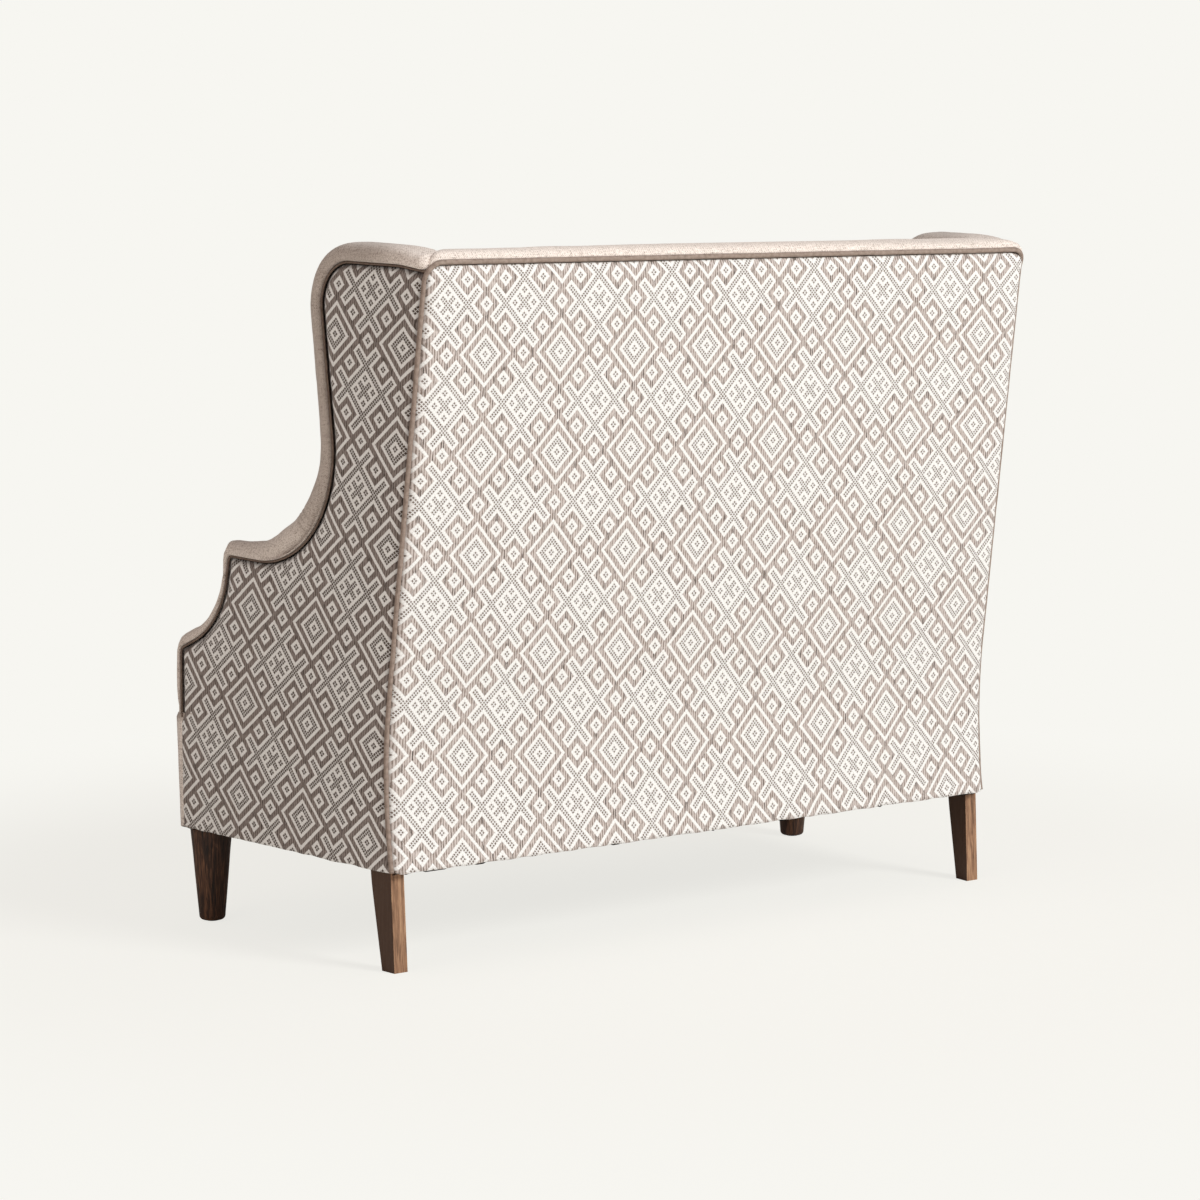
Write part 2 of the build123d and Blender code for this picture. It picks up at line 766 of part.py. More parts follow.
with BuildPart() as seat_edge_roll:
    shape = face_of(
        section,
        [
            (-frame_front, rail_top),
            (-frame_front, rail_top + edge_roll_height),
            (edge_roll_back, rail_top + edge_roll_height),
            (edge_roll_back, rail_top),
        ],
        [0, edge_roll_width / 2 - clearance, edge_roll_width / 2 - clearance, 0],
    )
    extrude(shape, amount=2 * rear_half_width, both=True)
    split(bisect_by=side_plane(-cover - post_size), keep=Keep.BOTTOM)
    split(bisect_by=right_plane(-cover - post_size), keep=Keep.BOTTOM)
keep(seat_edge_roll, "seat_edge_roll")


# Seat pad: a crowned block with a rounded nose, and the linen over its top and front
def seat_top(skin, fullness):
    """Corners of the seat's upper outline, `skin` inside the linen's outer face."""
    lift = seat_crown * fullness - skin
    return [
        (-seat_run + skin, seat_height - skin),
        (-seat_belly_reach, seat_belly + lift),
    ]


def seat_foam_outline(fullness):
    under_roll = rail_top + edge_roll_height + clearance
    points = [
        (-seat_rear_reach, foam_base),
        (edge_roll_back + clearance, foam_base),
        (edge_roll_back + clearance, under_roll),
        (-frame_front, under_roll),
        (-frame_front, border_height),
        (-seat_run + foam_skin, border_height),
        *seat_top(foam_skin, fullness),
        (-seat_rear_reach, seat_back_height - foam_skin),
    ]
    return points, [0, 0, 0, 0, 0, 0, seat_nose_radius - foam_skin, seat_belly_radius, 0]


def seat_cover_outline(fullness):
    points = [
        (-seat_rear_reach, border_height),
        (-seat_run, border_height),
        *seat_top(0, fullness),
        (-seat_rear_reach, seat_back_height),
    ]
    return points, [0, 0, seat_nose_radius, seat_belly_radius, 0]


def seat_hollow_outline(fullness):
    points = [
        (-seat_rear_reach + far / 10, foam_base),
        (-seat_run + linen, foam_base),
        *seat_top(linen, fullness),
        (-seat_rear_reach, seat_back_height - linen),
        (-seat_rear_reach + far / 10, seat_back_height - linen),
    ]
    return points, [0, 0, seat_nose_radius - linen, seat_belly_radius, 0, 0]


with BuildPart() as seat_foam:
    loft(fan_sections(seat_foam_outline))
keep(seat_foam, "seat_foam")

with BuildPart() as seat_cover:
    loft(fan_sections(seat_cover_outline))
    loft(fan_sections(seat_hollow_outline), mode=Mode.SUBTRACT)
keep(seat_cover, "seat_cover")

with BuildPart() as front_border:
    shape = face_of(
        section,
        [
            (-frame_front, hem_height),
            (-frame_front, border_height),
            (-seat_run, border_height),
            (-frame_front - linen, hem_height),
        ],
        [0, 0, linen, 0],
    )
    extrude(shape, amount=2 * rear_half_width, both=True)
    split(bisect_by=side_plane(side_welt_radius), keep=Keep.BOTTOM)
    split(bisect_by=right_plane(side_welt_radius), keep=Keep.BOTTOM)
keep(front_border, "front_border")

# Back pad: webbing and hessian on the frame, crowned foam, linen over its face and top
strap_places = [strap_spacing * (i - (strap_count - 1) / 2) for i in range(strap_count)]
strap_face = cover + stock + strap_thickness

with BuildPart() as back_webbing:
    for x in strap_places:
        bar = raked_bar(strap_face, cover + stock, lower_rail_base, top_rail_top)
        with Locations((x, 0, 0)):
            add(extrude(bar, amount=strap_width / 2, both=True, mode=Mode.PRIVATE))
keep(back_webbing, "back_webbing")

with BuildPart() as back_hessian:
    bar = raked_bar(strap_face + hessian, strap_face, lower_rail_base, top_rail_top)
    extrude(bar, amount=2 * rear_half_width, both=True)
    split(bisect_by=side_plane(-stile_inner - clearance), keep=Keep.BOTTOM)
    split(bisect_by=right_plane(-stile_inner - clearance), keep=Keep.BOTTOM)
keep(back_hessian, "back_hessian")

border_top = border_base + border_rise
seat_tuck = back_y(seat_height)


def back_face(skin, fullness):
    """Corners of the back pad from its top border down its face, `skin` inside the linen."""
    full = back_pad_crown * fullness - skin
    return [
        (back_y(border_top, border_inset + skin), border_top - skin),
        (back_y(border_top, back_pad_top + full), border_top - skin + linen),
        (back_y(back_belly_height, back_pad_waist + full), back_belly_height),
        (-seat_rear_reach + clearance + skin, seat_height),
        (-seat_rear_reach + clearance + skin, back_pad_low),
    ]


def back_foam_outline(fullness):
    points = [
        (back_y(border_base, border_inset + foam_skin), border_base),
        *back_face(foam_skin, fullness),
        (rake_y(back_pad_low, back_frame_face), back_pad_low),
        (back_y(border_base, back_frame_face), border_base),
    ]
    return points, [0, border_round - foam_skin, top_round - foam_skin, belly_radius, 0, 0, 0, 0]


def back_cover_outline(fullness):
    points = [
        (back_y(border_base, border_inset), border_base),
        *back_face(0, fullness),
        (rake_y(back_pad_low, back_frame_face), back_pad_low),
        (back_y(border_base, back_frame_face), border_base),
    ]
    return points, [0, border_round, top_round, belly_radius, 0, 0, 0, 0]


def back_hollow_outline(fullness):
    below = far / 10
    face = back_face(linen, fullness)
    points = [
        (back_y(border_base - below, border_inset + linen), border_base - below),
        *face[:-1],
        (face[-1][0], back_pad_low - below),
        (rake_y(back_pad_low - below, cover), back_pad_low - below),
        (rake_y(back_pad_low, cover), back_pad_low),
    ]
    return points, [0, border_round - linen, top_round - linen, belly_radius, 0, 0, 0, 0]


with BuildPart() as inside_back_foam:
    loft(fan_sections(back_foam_outline))
keep(inside_back_foam, "inside_back_foam")

with BuildPart() as inside_back_cover:
    loft(fan_sections(back_cover_outline))
    loft(fan_sections(back_hollow_outline), mode=Mode.SUBTRACT)
keep(inside_back_cover, "inside_back_cover")


# Arm and wing pad: a thick slab of the outline, rounded along its top and front
def side_slab(skin, low):
    outline = side_outline(wing_roll - skin, front_roll - skin, far)
    across = Axis((0, 0, 0), side_plane().z_dir)
    with BuildPart() as slab:
        extrude(side_face(roll_proud - skin, outline, low), amount=2 * skin - wall - roll_proud)
        for end, radius in ((-1, roll_round - skin), (0, inner_round - skin)):
            rim = slab.faces().filter_by(side_plane()).sort_by(across)[end].edges()
            rim = [e for e in rim if e.center().Z > low + 1 and e.center().Y < waist_y + far * 0.9]
            fillet(rim, radius)
    return slab.part


border_end = behind_back(border_inset, 2 * back_height)
border_end_hollow = behind_back(border_inset + linen, 2 * back_height)
border_end_foam = behind_back(border_inset + foam_skin, 2 * back_height)
stile_space = behind_back(stile_face + clearance, border_base)
pocket_outline = side_outline(welt_gap, welt_gap, 2 * far)

with BuildPart() as pocket:
    extrude(side_face(far, pocket_outline, 0), amount=-far - pad_plane)

with BuildPart() as pad_hollow:
    add(side_slab(linen, border_height - far / 10))
    add(border_end_hollow, mode=Mode.SUBTRACT)

with BuildPart() as arm_wing_foam:
    add(side_slab(foam_skin, border_height))
    add(border_end_foam, mode=Mode.SUBTRACT)
    add(stile_space, mode=Mode.SUBTRACT)
    add(pocket.part, mode=Mode.SUBTRACT)
keep_pair(arm_wing_foam, "arm_wing_foam")

with BuildPart() as arm_wing_cover:
    add(side_slab(0, border_height))
    add(border_end, mode=Mode.SUBTRACT)
    add(stile_space, mode=Mode.SUBTRACT)
    add(pocket.part, mode=Mode.SUBTRACT)
    add(pad_hollow.part, mode=Mode.SUBTRACT)
keep_pair(arm_wing_cover, "arm_wing_cover")

# Woven outside covers
with BuildPart() as outside_arm_cover:
    extrude(side_face(0, inside_welt, hem_height), amount=-cover)
    add(behind_back(corner_gap, 2 * back_height), mode=Mode.SUBTRACT)
keep_pair(outside_arm_cover, "outside_arm_cover")

with BuildPart() as outside_back_cover:
    cover_top = back_height - back_welt_radius - clearance
    band = back_band(cover, 0, hem_height, cover_top)
    extrude(band, amount=2 * rear_half_width, both=True)
    split(bisect_by=side_plane(-corner_gap), keep=Keep.BOTTOM)
    split(bisect_by=right_plane(-corner_gap), keep=Keep.BOTTOM)
    corners = outside_back_cover.edges().filter_by(lambda e: abs(e.length - cover) < 1)
    fillet(corners.sort_by(Axis.Z)[-2:], back_corner_radius - corner_gap)
keep(outside_back_cover, "outside_back_cover")


# Welts
def corner_point(y, z):
    """Point of the back welt on the left rear corner."""
    return (side_x(y, -welt_sink), waist_y + y, z)


with BuildPart() as back_welt:
    radius = waist_radius + welt_sink
    low_angle = asin((hem_height - waist_height) / radius)
    half_bend = (lean - low_angle) / 2
    middle = (lean + low_angle) / 2
    bend_reach = radius / cos(half_bend)
    bend = (waist_radius - bend_reach * cos(middle), waist_height + bend_reach * sin(middle))
    side_points = [
        corner_point(back_y(hem_height, welt_sink), hem_height),
        corner_point(*bend),
        corner_point(back_y(back_height, welt_sink), back_height),
    ]
    other_points = [(-x, y, z) for x, y, z in reversed(side_points)]
    bend_radius = waist_radius - back_welt_radius
    with BuildLine() as route:
        FilletPolyline(
            side_points + other_points,
            radius=[bend_radius, back_corner_radius, back_corner_radius, bend_radius],
        )
    with BuildSketch(Plane(origin=route.line @ 0, z_dir=route.line % 0)):
        Circle(back_welt_radius)
    sweep(path=route.wire())
keep(back_welt, "back_welt")

with BuildPart() as side_welt:
    welt_start = back_y(back_height, corner_gap + side_welt_radius)
    points, radii = side_outline(0, 0, welt_start)
    with BuildLine(side_plane(-side_welt_sink)) as route:
        FilletPolyline(points, radius=radii)
    with BuildSketch(Plane(origin=route.line @ 0, z_dir=route.line % 0)):
        Circle(side_welt_radius)
    sweep(path=route.wire())
keep_pair(side_welt, "side_welt")

# Black cloth under the frame, stapled along its edges
dust_base = frame_height - dust_cloth
dust_front = -frame_front + dust_inset
dust_rear = back_y(frame_height, cover) - dust_inset

with BuildPart() as dust_cover:
    with BuildSketch(level(dust_base)):
        with BuildLine():
            leg_corner = dust_front + front_leg_top
            Polyline(
                (0, dust_front),
                (side_x(dust_front, -cover - dust_inset) - front_leg_top, dust_front),
                (side_x(leg_corner, -cover - dust_inset), leg_corner),
                (side_x(dust_rear, -cover - dust_inset), dust_rear),
                (0, dust_rear),
                close=True,
            )
        make_face()
    extrude(amount=dust_cloth)
    for piece in (front_leg, rear_stile, leg_hanger_bolts):
        add(piece.part, mode=Mode.SUBTRACT)
    mirror(about=Plane.YZ)
keep(dust_cover, "dust_cover")

staple_edge = 2 * dust_inset
staple_level = dust_base - staple_wire / 2
with BuildPart() as dust_cover_staples:
    for y in (dust_front + dust_inset, dust_rear - dust_inset):
        room = side_x(y, -wall)
        count = int(2 * room / staple_spacing)
        for i in range(count + 1):
            with Locations((staple_spacing * (i - count / 2), waist_y + y, staple_level)):
                Box(staple_width, staple_wire, staple_wire)
    side_room = dust_rear - dust_front - 2 * front_leg_top - rear_leg_top
    count = int(side_room / staple_spacing)
    for i in range(count + 1):
        y = dust_front + 2 * front_leg_top + staple_spacing * i
        for way in (-1, 1):
            x = way * side_x(y, -cover - staple_edge)
            with Locations((x, waist_y + y, staple_level)):
                Box(staple_wire, staple_width, staple_wire)
keep(dust_cover_staples, "dust_cover_staples")
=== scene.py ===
import bmesh
import bpy
import json
import math
import numpy as np
from functools import partial
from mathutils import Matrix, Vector, noise
from mathutils.geometry import delaunay_2d_cdt


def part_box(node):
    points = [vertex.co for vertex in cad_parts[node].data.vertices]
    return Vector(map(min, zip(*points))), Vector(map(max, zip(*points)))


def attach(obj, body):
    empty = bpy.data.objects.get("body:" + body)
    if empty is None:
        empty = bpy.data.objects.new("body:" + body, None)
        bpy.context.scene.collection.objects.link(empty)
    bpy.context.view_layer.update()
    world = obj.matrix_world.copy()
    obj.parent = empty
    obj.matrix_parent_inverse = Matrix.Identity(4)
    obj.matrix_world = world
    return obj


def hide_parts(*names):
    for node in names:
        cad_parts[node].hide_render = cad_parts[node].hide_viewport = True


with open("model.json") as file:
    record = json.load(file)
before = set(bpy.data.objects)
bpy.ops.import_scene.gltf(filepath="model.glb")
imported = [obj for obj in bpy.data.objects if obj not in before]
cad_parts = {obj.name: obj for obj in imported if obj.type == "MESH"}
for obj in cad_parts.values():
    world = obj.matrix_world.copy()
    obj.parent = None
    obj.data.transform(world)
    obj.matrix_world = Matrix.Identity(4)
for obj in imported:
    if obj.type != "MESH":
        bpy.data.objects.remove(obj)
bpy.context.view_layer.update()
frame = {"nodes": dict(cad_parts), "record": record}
nodes = frame["nodes"]
print("frame loaded:", len(nodes), "nodes")

# sizes of the settee in millimetres, fitted closely to the CAD's; the waist's place comes from the frame
mm = 0.001
bothSides = ((1, "left"), (-1, "right"))
settee = dict(
    halfWidth=608.0, flare=4.9, hem=155.0, waistZ=300.0, waistRadius=900.0, rake=8.0, backTop=1078.0,
    cornerRound=25.0, seatRun=551.0, wall=78.0, borderTop=340.0
)
settee["waistY"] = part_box("seat_cover")[0][1] / mm + settee["seatRun"]
flare, lean = math.radians(settee["flare"]), math.radians(settee["rake"])
sinF, cosF = math.sin(flare), math.cos(flare)
hemFold = dict(edge=3.0, turn=14.0, lift=1.5)  # how the cloth turns under the frame


def linear(hexColour):
    parts = [int(hexColour[i:i + 2], 16) / 255 for i in (1, 3, 5)]
    return [c / 12.92 if c <= 0.04045 else ((c + 0.055) / 1.055) ** 2.4 for c in parts] + [1.0]


def setSockets(node, links):
    # a value is set, a socket is linked, and a node stands for its first live output
    for spot, value in (links.items() if isinstance(links, dict) else enumerate(links)):
        if isinstance(value, bpy.types.Node):
            value = next(socket for socket in value.outputs if socket.enabled)
        if isinstance(value, bpy.types.NodeSocket):
            node.id_data.links.new(value, node.inputs[spot])
        else:
            node.inputs[spot].default_value = value


def addNode(tree, kind, links=(), **settings):
    # kind holds the node's operation too, after a space. In a Mix, 2 and 3 are values and 6 and 7 colours
    kind, *operation = kind.split()
    node = tree.nodes.new("ShaderNode" + kind)
    if operation:
        node.operation = operation[0]
    for name, value in settings.items():
        setattr(node, name, value)
    setSockets(node, links)
    return node


def newMaterial(name):
    material = bpy.data.materials.new(name)
    material.use_nodes = True
    tree = material.node_tree
    return material, partial(addNode, tree), tree.nodes["Principled BSDF"]


def smooth(x, low, high):
    t = np.clip((np.asarray(x, float) - low) / (high - low), 0, 1)
    return t * t * (3 - 2 * t)


def fade(x, width):
    return np.exp(-(x / width) ** 2)


def roundOff(share):
    # drop of a quarter round, 0 to 1, as share runs from 0 to 1
    return 1 - np.sqrt(np.clip(1 - share ** 2, 0, 1))


def crowded(count, pull):
    # places from -1 to 1, closer together towards the ends
    return np.sin(np.linspace(-1, 1, count) * math.pi / 2 * pull) / math.sin(math.pi / 2 * pull)


def ripple(points, size, seed):
    # smooth noise from -1 to 1, for points in millimetres
    shift = Vector((seed * 17.3, seed * 5.1, seed * 9.7))
    return np.array([noise.noise(Vector(p) / size + shift) for p in np.asarray(points, float).reshape(-1, 3)])


def lumpy(points, lumps):
    # each lump is (height, size, seed)
    return sum(height * ripple(points, size, seed) for height, size, seed in lumps)


def runAlong(line):
    return np.r_[0, np.cumsum(np.linalg.norm(np.diff(line, axis=0), axis=1))]


def resample(line, at, wanted):
    return np.stack([np.interp(wanted, at, line[:, k]) for k in range(line.shape[1])], 1)


def backY(z, depth=0.0):
    # outside of the back behind the waist: hollow round the waist, straight rake above it
    z = np.asarray(z, float)
    radius = settee["waistRadius"] + depth
    bend = settee["waistZ"] + radius * math.sin(lean)
    low = settee["waistRadius"] - np.sqrt(np.maximum(radius ** 2 - (z - settee["waistZ"]) ** 2, 0))
    return np.where(z <= bend, low, settee["waistRadius"] - radius * math.cos(lean) + math.tan(lean) * (z - bend))


def backRun(z):
    # length of cloth down the back from the top welt
    z = np.asarray(z, float)
    radius = settee["waistRadius"]
    bend = settee["waistZ"] + radius * math.sin(lean)
    top = (settee["backTop"] - bend) / math.cos(lean)
    turned = radius * (lean - np.arcsin(np.clip((z - settee["waistZ"]) / radius, -1, 1)))
    return np.where(z >= bend, (settee["backTop"] - z) / math.cos(lean), top + turned)


def sidePoint(w, z, q):
    # place on the left side: w rearward from the waist, q out of the woven cover
    w, z, q = np.broadcast_arrays(np.asarray(w, float), np.asarray(z, float), np.asarray(q, float))
    return np.stack([settee["halfWidth"] + cosF * q - sinF * w, settee["waistY"] + sinF * q + cosF * w, z], -1)


def sideX(y, q=0.0):
    return settee["halfWidth"] + (q - y * sinF) / cosF


def roundedLine(points, radii, step, curveStep=None):
    # open line through the points with its corners rounded, as evenly spaced points
    points = [np.array(p, float) for p in points]
    run = [points[0]]
    for i in range(1, len(points) - 1):
        p, a, b = points[i], points[i - 1] - points[i], points[i + 1] - points[i]
        a, b = a / np.linalg.norm(a), b / np.linalg.norm(b)
        half = math.acos(np.clip(a @ b, -1, 1)) / 2
        radius = radii[i - 1]
        if radius < 1e-6 or half > math.pi / 2 - 1e-4:
            run.append(p)
            continue
        centre = p + (a + b) / np.linalg.norm(a + b) * radius / math.sin(half)
        start, end = p + a * radius / math.tan(half), p + b * radius / math.tan(half)
        sweep = math.pi - 2 * half
        count = max(3, int(radius * sweep / (curveStep or step)) + 1)
        e1, e2 = (start - centre) / radius, (end - centre) / radius
        for t in (k / count for k in range(count + 1)):
            arc = math.sin((1 - t) * sweep) * e1 + math.sin(t * sweep) * e2
            run.append(centre + radius * arc / math.sin(sweep))
    run = np.array(run + [points[-1]])
    length = runAlong(run)
    keep = np.r_[True, np.diff(length) > 1e-6]
    run, length = run[keep], length[keep]
    even = np.linspace(0, length[-1], max(2, int(round(length[-1] / step))) + 1)
    return resample(run, length, even), even


def gridFaces(rows, columns, loop=False):
    faces = []
    for i in range(0, (rows - 1) * columns, columns):
        for j in range(columns if loop else columns - 1):
            k = (j + 1) % columns
            faces.append((i + j, i + columns + j, i + columns + k, i + k))
    return faces


def tubeFaces(rows, sides):
    # closed tube with a face on each end
    last = range((rows - 1) * sides, rows * sides)
    return gridFaces(rows, sides, loop=True) + [tuple(range(sides)), tuple(reversed(last))]


def hemRows(edge, way, drop=1.2):
    # two more rows of points, where a hem turns under the frame
    under = edge + np.multiply(way, hemFold["edge"]) - [0, 0, drop]
    return np.stack([under, edge + np.multiply(way, hemFold["turn"]) + [0, 0, hemFold["lift"]]])


def addPiece(name, points, faces, cloth=None, seam=0.0, hand=1, flip=False, shade=0.0):
    # mesh from points in millimetres; cloth is each point's place on the flat cloth, in millimetres or repeats
    points = np.asarray(points, float).reshape(-1, 3) * mm
    points[:, 0] *= hand
    if (hand < 0) != flip:
        faces = [tuple(reversed(f)) for f in faces]
    mesh = bpy.data.meshes.new(name)
    mesh.from_pydata(points.tolist(), [], [list(f) for f in faces])
    if cloth is not None:
        flat = np.zeros((len(points), 3), np.float32)
        flat[:, :2] = np.asarray(cloth, float).reshape(-1, 2)
        mesh.attributes.new("clothPlace", "FLOAT_VECTOR", "POINT").data.foreach_set("vector", flat.ravel())
    # two attributes of painted shade per point: one for the grooves of seams and creases, one for cloth turned from
    # the light
    for kind, values in (("seam", seam), ("shade", shade)):
        values = np.array(np.broadcast_to(np.ravel(values), len(points)), np.float32)
        mesh.attributes.new(kind, "FLOAT", "POINT").data.foreach_set("value", values)
    mesh.polygons.foreach_set("use_smooth", [True] * len(mesh.polygons))
    mesh.validate()
    mesh.update()
    piece = bpy.data.objects.new(name, mesh)
    bpy.context.scene.collection.objects.link(piece)
    return piece


def faceOut(piece, outward, join=0.0):
    # nets come out either way round: turn all faces to one side, joining points that lie together
    work = bmesh.new()
    work.from_mesh(piece.data)
    if join:
        bmesh.ops.remove_doubles(work, verts=work.verts, dist=join * mm)
    bmesh.ops.recalc_face_normals(work, faces=work.faces)
    if sum(f.normal.dot(outward) * f.calc_area() for f in work.faces) < 0:
        bmesh.ops.reverse_faces(work, faces=work.faces)
    for face in work.faces:
        face.smooth = True
    work.to_mesh(piece.data)
    work.free()
    piece.data.update()


def dress(piece, material, replaced, thick=None):
    piece.data.materials.clear()
    piece.data.materials.append(material)
    if thick:
        layer = piece.modifiers.new("cloth thickness", "SOLIDIFY")
        layer.thickness, layer.offset, layer.use_even_offset = thick * mm, -1, False
    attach(piece, "root")
    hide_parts(*replaced)
    return piece


def edgeDistance(points, line):
    # distance of flat points from an open line
    points, line = np.asarray(points, float), np.asarray(line, float)
    gap = np.full(len(points), 1e9)
    for a, b in zip(line[:-1], line[1:]):
        d = b - a
        t = np.clip(((points - a) @ d) / max(d @ d, 1e-9), 0, 1)
        gap = np.minimum(gap, np.linalg.norm(points - a - t[:, None] * d, axis=1))
    return gap


def fillOutline(edge, spacing):
    # flat mesh inside a closed outline: triangles on an even net of points
    edge = np.asarray(edge, float)
    low, high = edge.min(0), edge.max(0)
    xs, ys = np.arange(low[0], high[0], spacing), np.arange(low[1], high[1], spacing * 0.866)
    net = np.array([(x + (spacing / 2 if k % 2 else 0), y) for k, y in enumerate(ys) for x in xs])
    inside = np.zeros(len(net), bool)
    for a, b in zip(edge, np.roll(edge, -1, axis=0)):
        crossing = ((a[1] > net[:, 1]) != (b[1] > net[:, 1]))
        with np.errstate(divide="ignore", invalid="ignore"):
            inside ^= crossing & (net[:, 0] < (b[0] - a[0]) * (net[:, 1] - a[1]) / (b[1] - a[1]) + a[0])
    net = net[inside & (edgeDistance(net, np.vstack([edge, edge[:1]])) > spacing * 0.55)]
    count = len(edge)
    bounds = [(i, (i + 1) % count) for i in range(count)]
    made = delaunay_2d_cdt([Vector(p) for p in np.vstack([edge, net])], bounds, [list(range(count))], 1, 1e-4)
    return np.array([list(p) for p in made[0]]), [tuple(f) for f in made[2]]


# lengths on the woven cloth are counted in repeats of the figure, with 24 floats from one figure to the next
# whiteShade, deep and the slit tint are painted shade: round the beads, on cloth turned from the light, and in slits
# and seams
jacquard = dict(
    count=24.0, wander=0.010, yarns=1.3, relief=1.8, white="#e8e7e5", whiteShade="#cbc8c4", ground="#c6bcb7",
    groundDark="#7c6f66", deep="#6a5d56", tie="#74675f", slitShade="#352b26",
    finish={"Roughness": 0.92, "Specular IOR Level": 0.25, "Sheen Weight": 0.1, "Sheen Roughness": 0.6}
)


def makeJacquard():
    # cotton jacquard, a raised off-white figure on a taupe ground: matt, beaded floats, short upright
    # yarn strokes, dark slits where the yarns part; the dark of the slits, seams and bead edges, and the darker side
    # covers, are painted shade
    colours = {name: linear(value) for name, value in jacquard.items() if str(value).startswith("#")}
    material, add, shader = newMaterial("cottonJacquard")
    place = add("Attribute", attribute_name="clothPlace").outputs["Vector"]
    seam, shade = (add("Attribute", attribute_name=name).outputs["Fac"] for name in ("seam", "shade"))
    wander = add("TexNoise", {0: place, "Scale": 55.0, "Detail": 1.0})
    centred = add("VectorMath SUBTRACT", [wander.outputs["Color"], (0.5, 0.5, 0.5)])
    shaken = add("VectorMath MULTIPLY_ADD", [centred, (jacquard["wander"], jacquard["wander"], 0.0), place])
    # floats are counted along both diagonals
    n = jacquard["count"]
    s, t = (add("VectorMath DOT_PRODUCT", [shaken, (n, way * n, 0.0)]) for way in (1, -1))
    counts = add("CombineXYZ", [s, t, 0.0])
    cell = add("VectorMath WRAP", [counts, (n / 2, n / 2, 1.0), (-n / 2, -n / 2, 0.0)])
    sizeS, sizeT = add("SeparateXYZ", [add("VectorMath ABSOLUTE", [cell])]).outputs[:2]
    far, near = add("Math MAXIMUM", [sizeS, sizeT]), add("Math MINIMUM", [sizeS, sizeT])
    turns = add("VectorMath FLOOR", [add("VectorMath MULTIPLY_ADD", [counts, (1 / n, 1 / n, 0.0), (0.5, 0.5, 0.0)])])
    parity = add("VectorMath DOT_PRODUCT", [turns, (1.0, 1.0, 0.0)])
    cross = add("Math FLOORED_MODULO", [parity, 2.0])  # 1 in the crossed figure, 0 in the nested diamonds
    # nested diamonds: white to 5, ring from 7 to 8, and the ends of the neighbours' bands
    core, ring = add("Math LESS_THAN", [far, 5.1]), add("Math COMPARE", [far, 7.5, 0.6])
    bandEnd = add("Math MULTIPLY", [add("Math GREATER_THAN", [far, 10.0]), add("Math COMPARE", [near, 6.0, 2.0])])
    nested = add("Math MAXIMUM", [add("Math ADD", [core, ring]), bandEnd])
    coreTies = add("Math ADD", [add("Math LESS_THAN", [far, 1.0]), add("Math COMPARE", [far, 3.0, 1.0])])
    endTies = add("Math MULTIPLY", [add("Math GREATER_THAN", [far, 11.0]), add("Math COMPARE", [near, 6.0, 1.0])])
    nestedTies = add("Math MAXIMUM", [coreTies, endTies])
    # crossed figure: four bands from 4 to 8 round a square
    square = add("Math LESS_THAN", [far, 4.0])
    bands, bandTies = (add("Math MAXIMUM", [add("Math COMPARE", [size, 6.0, reach]) for size in (sizeS, sizeT)])
                       for reach in (2.1, 1.0))
    crossed = add("Math MAXIMUM", [square, bands])
    spine, corner = add("Math LESS_THAN", [near, 1.0]), add("Math GREATER_THAN", [near, 2.0])
    squareTies = add("Math MULTIPLY", [add("Math ADD", [spine, corner]), square])
    crossedTies = add("Math MAXIMUM", [squareTies, bandTies])
    # small diamonds half way between
    smallCell = add("VectorMath WRAP", [counts, (n / 4, n / 4, 1.0), (-n / 4, -n / 4, 0.0)])
    smallSize = add("SeparateXYZ", [add("VectorMath ABSOLUTE", [smallCell])])
    smallFar = add("Math MAXIMUM", smallSize.outputs[:2])
    outside = add("Math GREATER_THAN", [far, 6.0])
    small, smallTies = (add("Math MULTIPLY", [add("Math LESS_THAN", [smallFar, reach]), outside])
                        for reach in (2.1, 1.0))
    figure = add("Math MAXIMUM", [add("Mix", {0: cross, 2: nested, 3: crossed}), small])
    ties = add("Math MAXIMUM", [add("Mix", {0: cross, 2: nestedTies, 3: crossedTies}), smallTies])
    # one bead a count, tied down by a taupe dot where the ties are
    part = add("VectorMath SUBTRACT", [add("VectorMath FRACTION", [counts]), (0.5, 0.5, 0.0)])
    beadFar = add("Math MAXIMUM", add("SeparateXYZ", [add("VectorMath ABSOLUTE", [part])]).outputs[:2])
    # the tie dots grow where painted shade lies, darkening the side covers further
    dotSize = add("Math MULTIPLY_ADD", [shade, 0.13, 0.31])
    dots = add("Math MULTIPLY", [add("Math LESS_THAN", [beadFar, dotSize]), ties])
    white = add("Math SUBTRACT", [figure, dots], use_clamp=True)
    # slits stand upright on four sides of each small diamond
    across, upright = (add("Math ABSOLUTE", [add("VectorMath DOT_PRODUCT", [smallCell, (0.5, way * 0.5, 0.0)])])
                       for way in (1, -1))
    sideSlit = add("Math MULTIPLY", [add("Math COMPARE", [across, 2.9, 0.15]), add("Math LESS_THAN", [upright, 1.5])])
    endSlit = add("Math MULTIPLY", [add("Math COMPARE", [upright, 3.0, 1.1]),
                                    add("Math COMPARE", [across, 0.3, 0.12])])
    bare = add("Math SUBTRACT", [1.0, figure], use_clamp=True)
    anySlit = add("Math MULTIPLY", [add("Math MAXIMUM", [sideSlit, endSlit]), bare])
    chance = add("TexNoise", {0: place, "Scale": 9.0, "Detail": 2.0})
    slits = add("Math MULTIPLY", [anySlit, add("MapRange", [chance, 0.42, 0.62, 0.0, 0.9])])
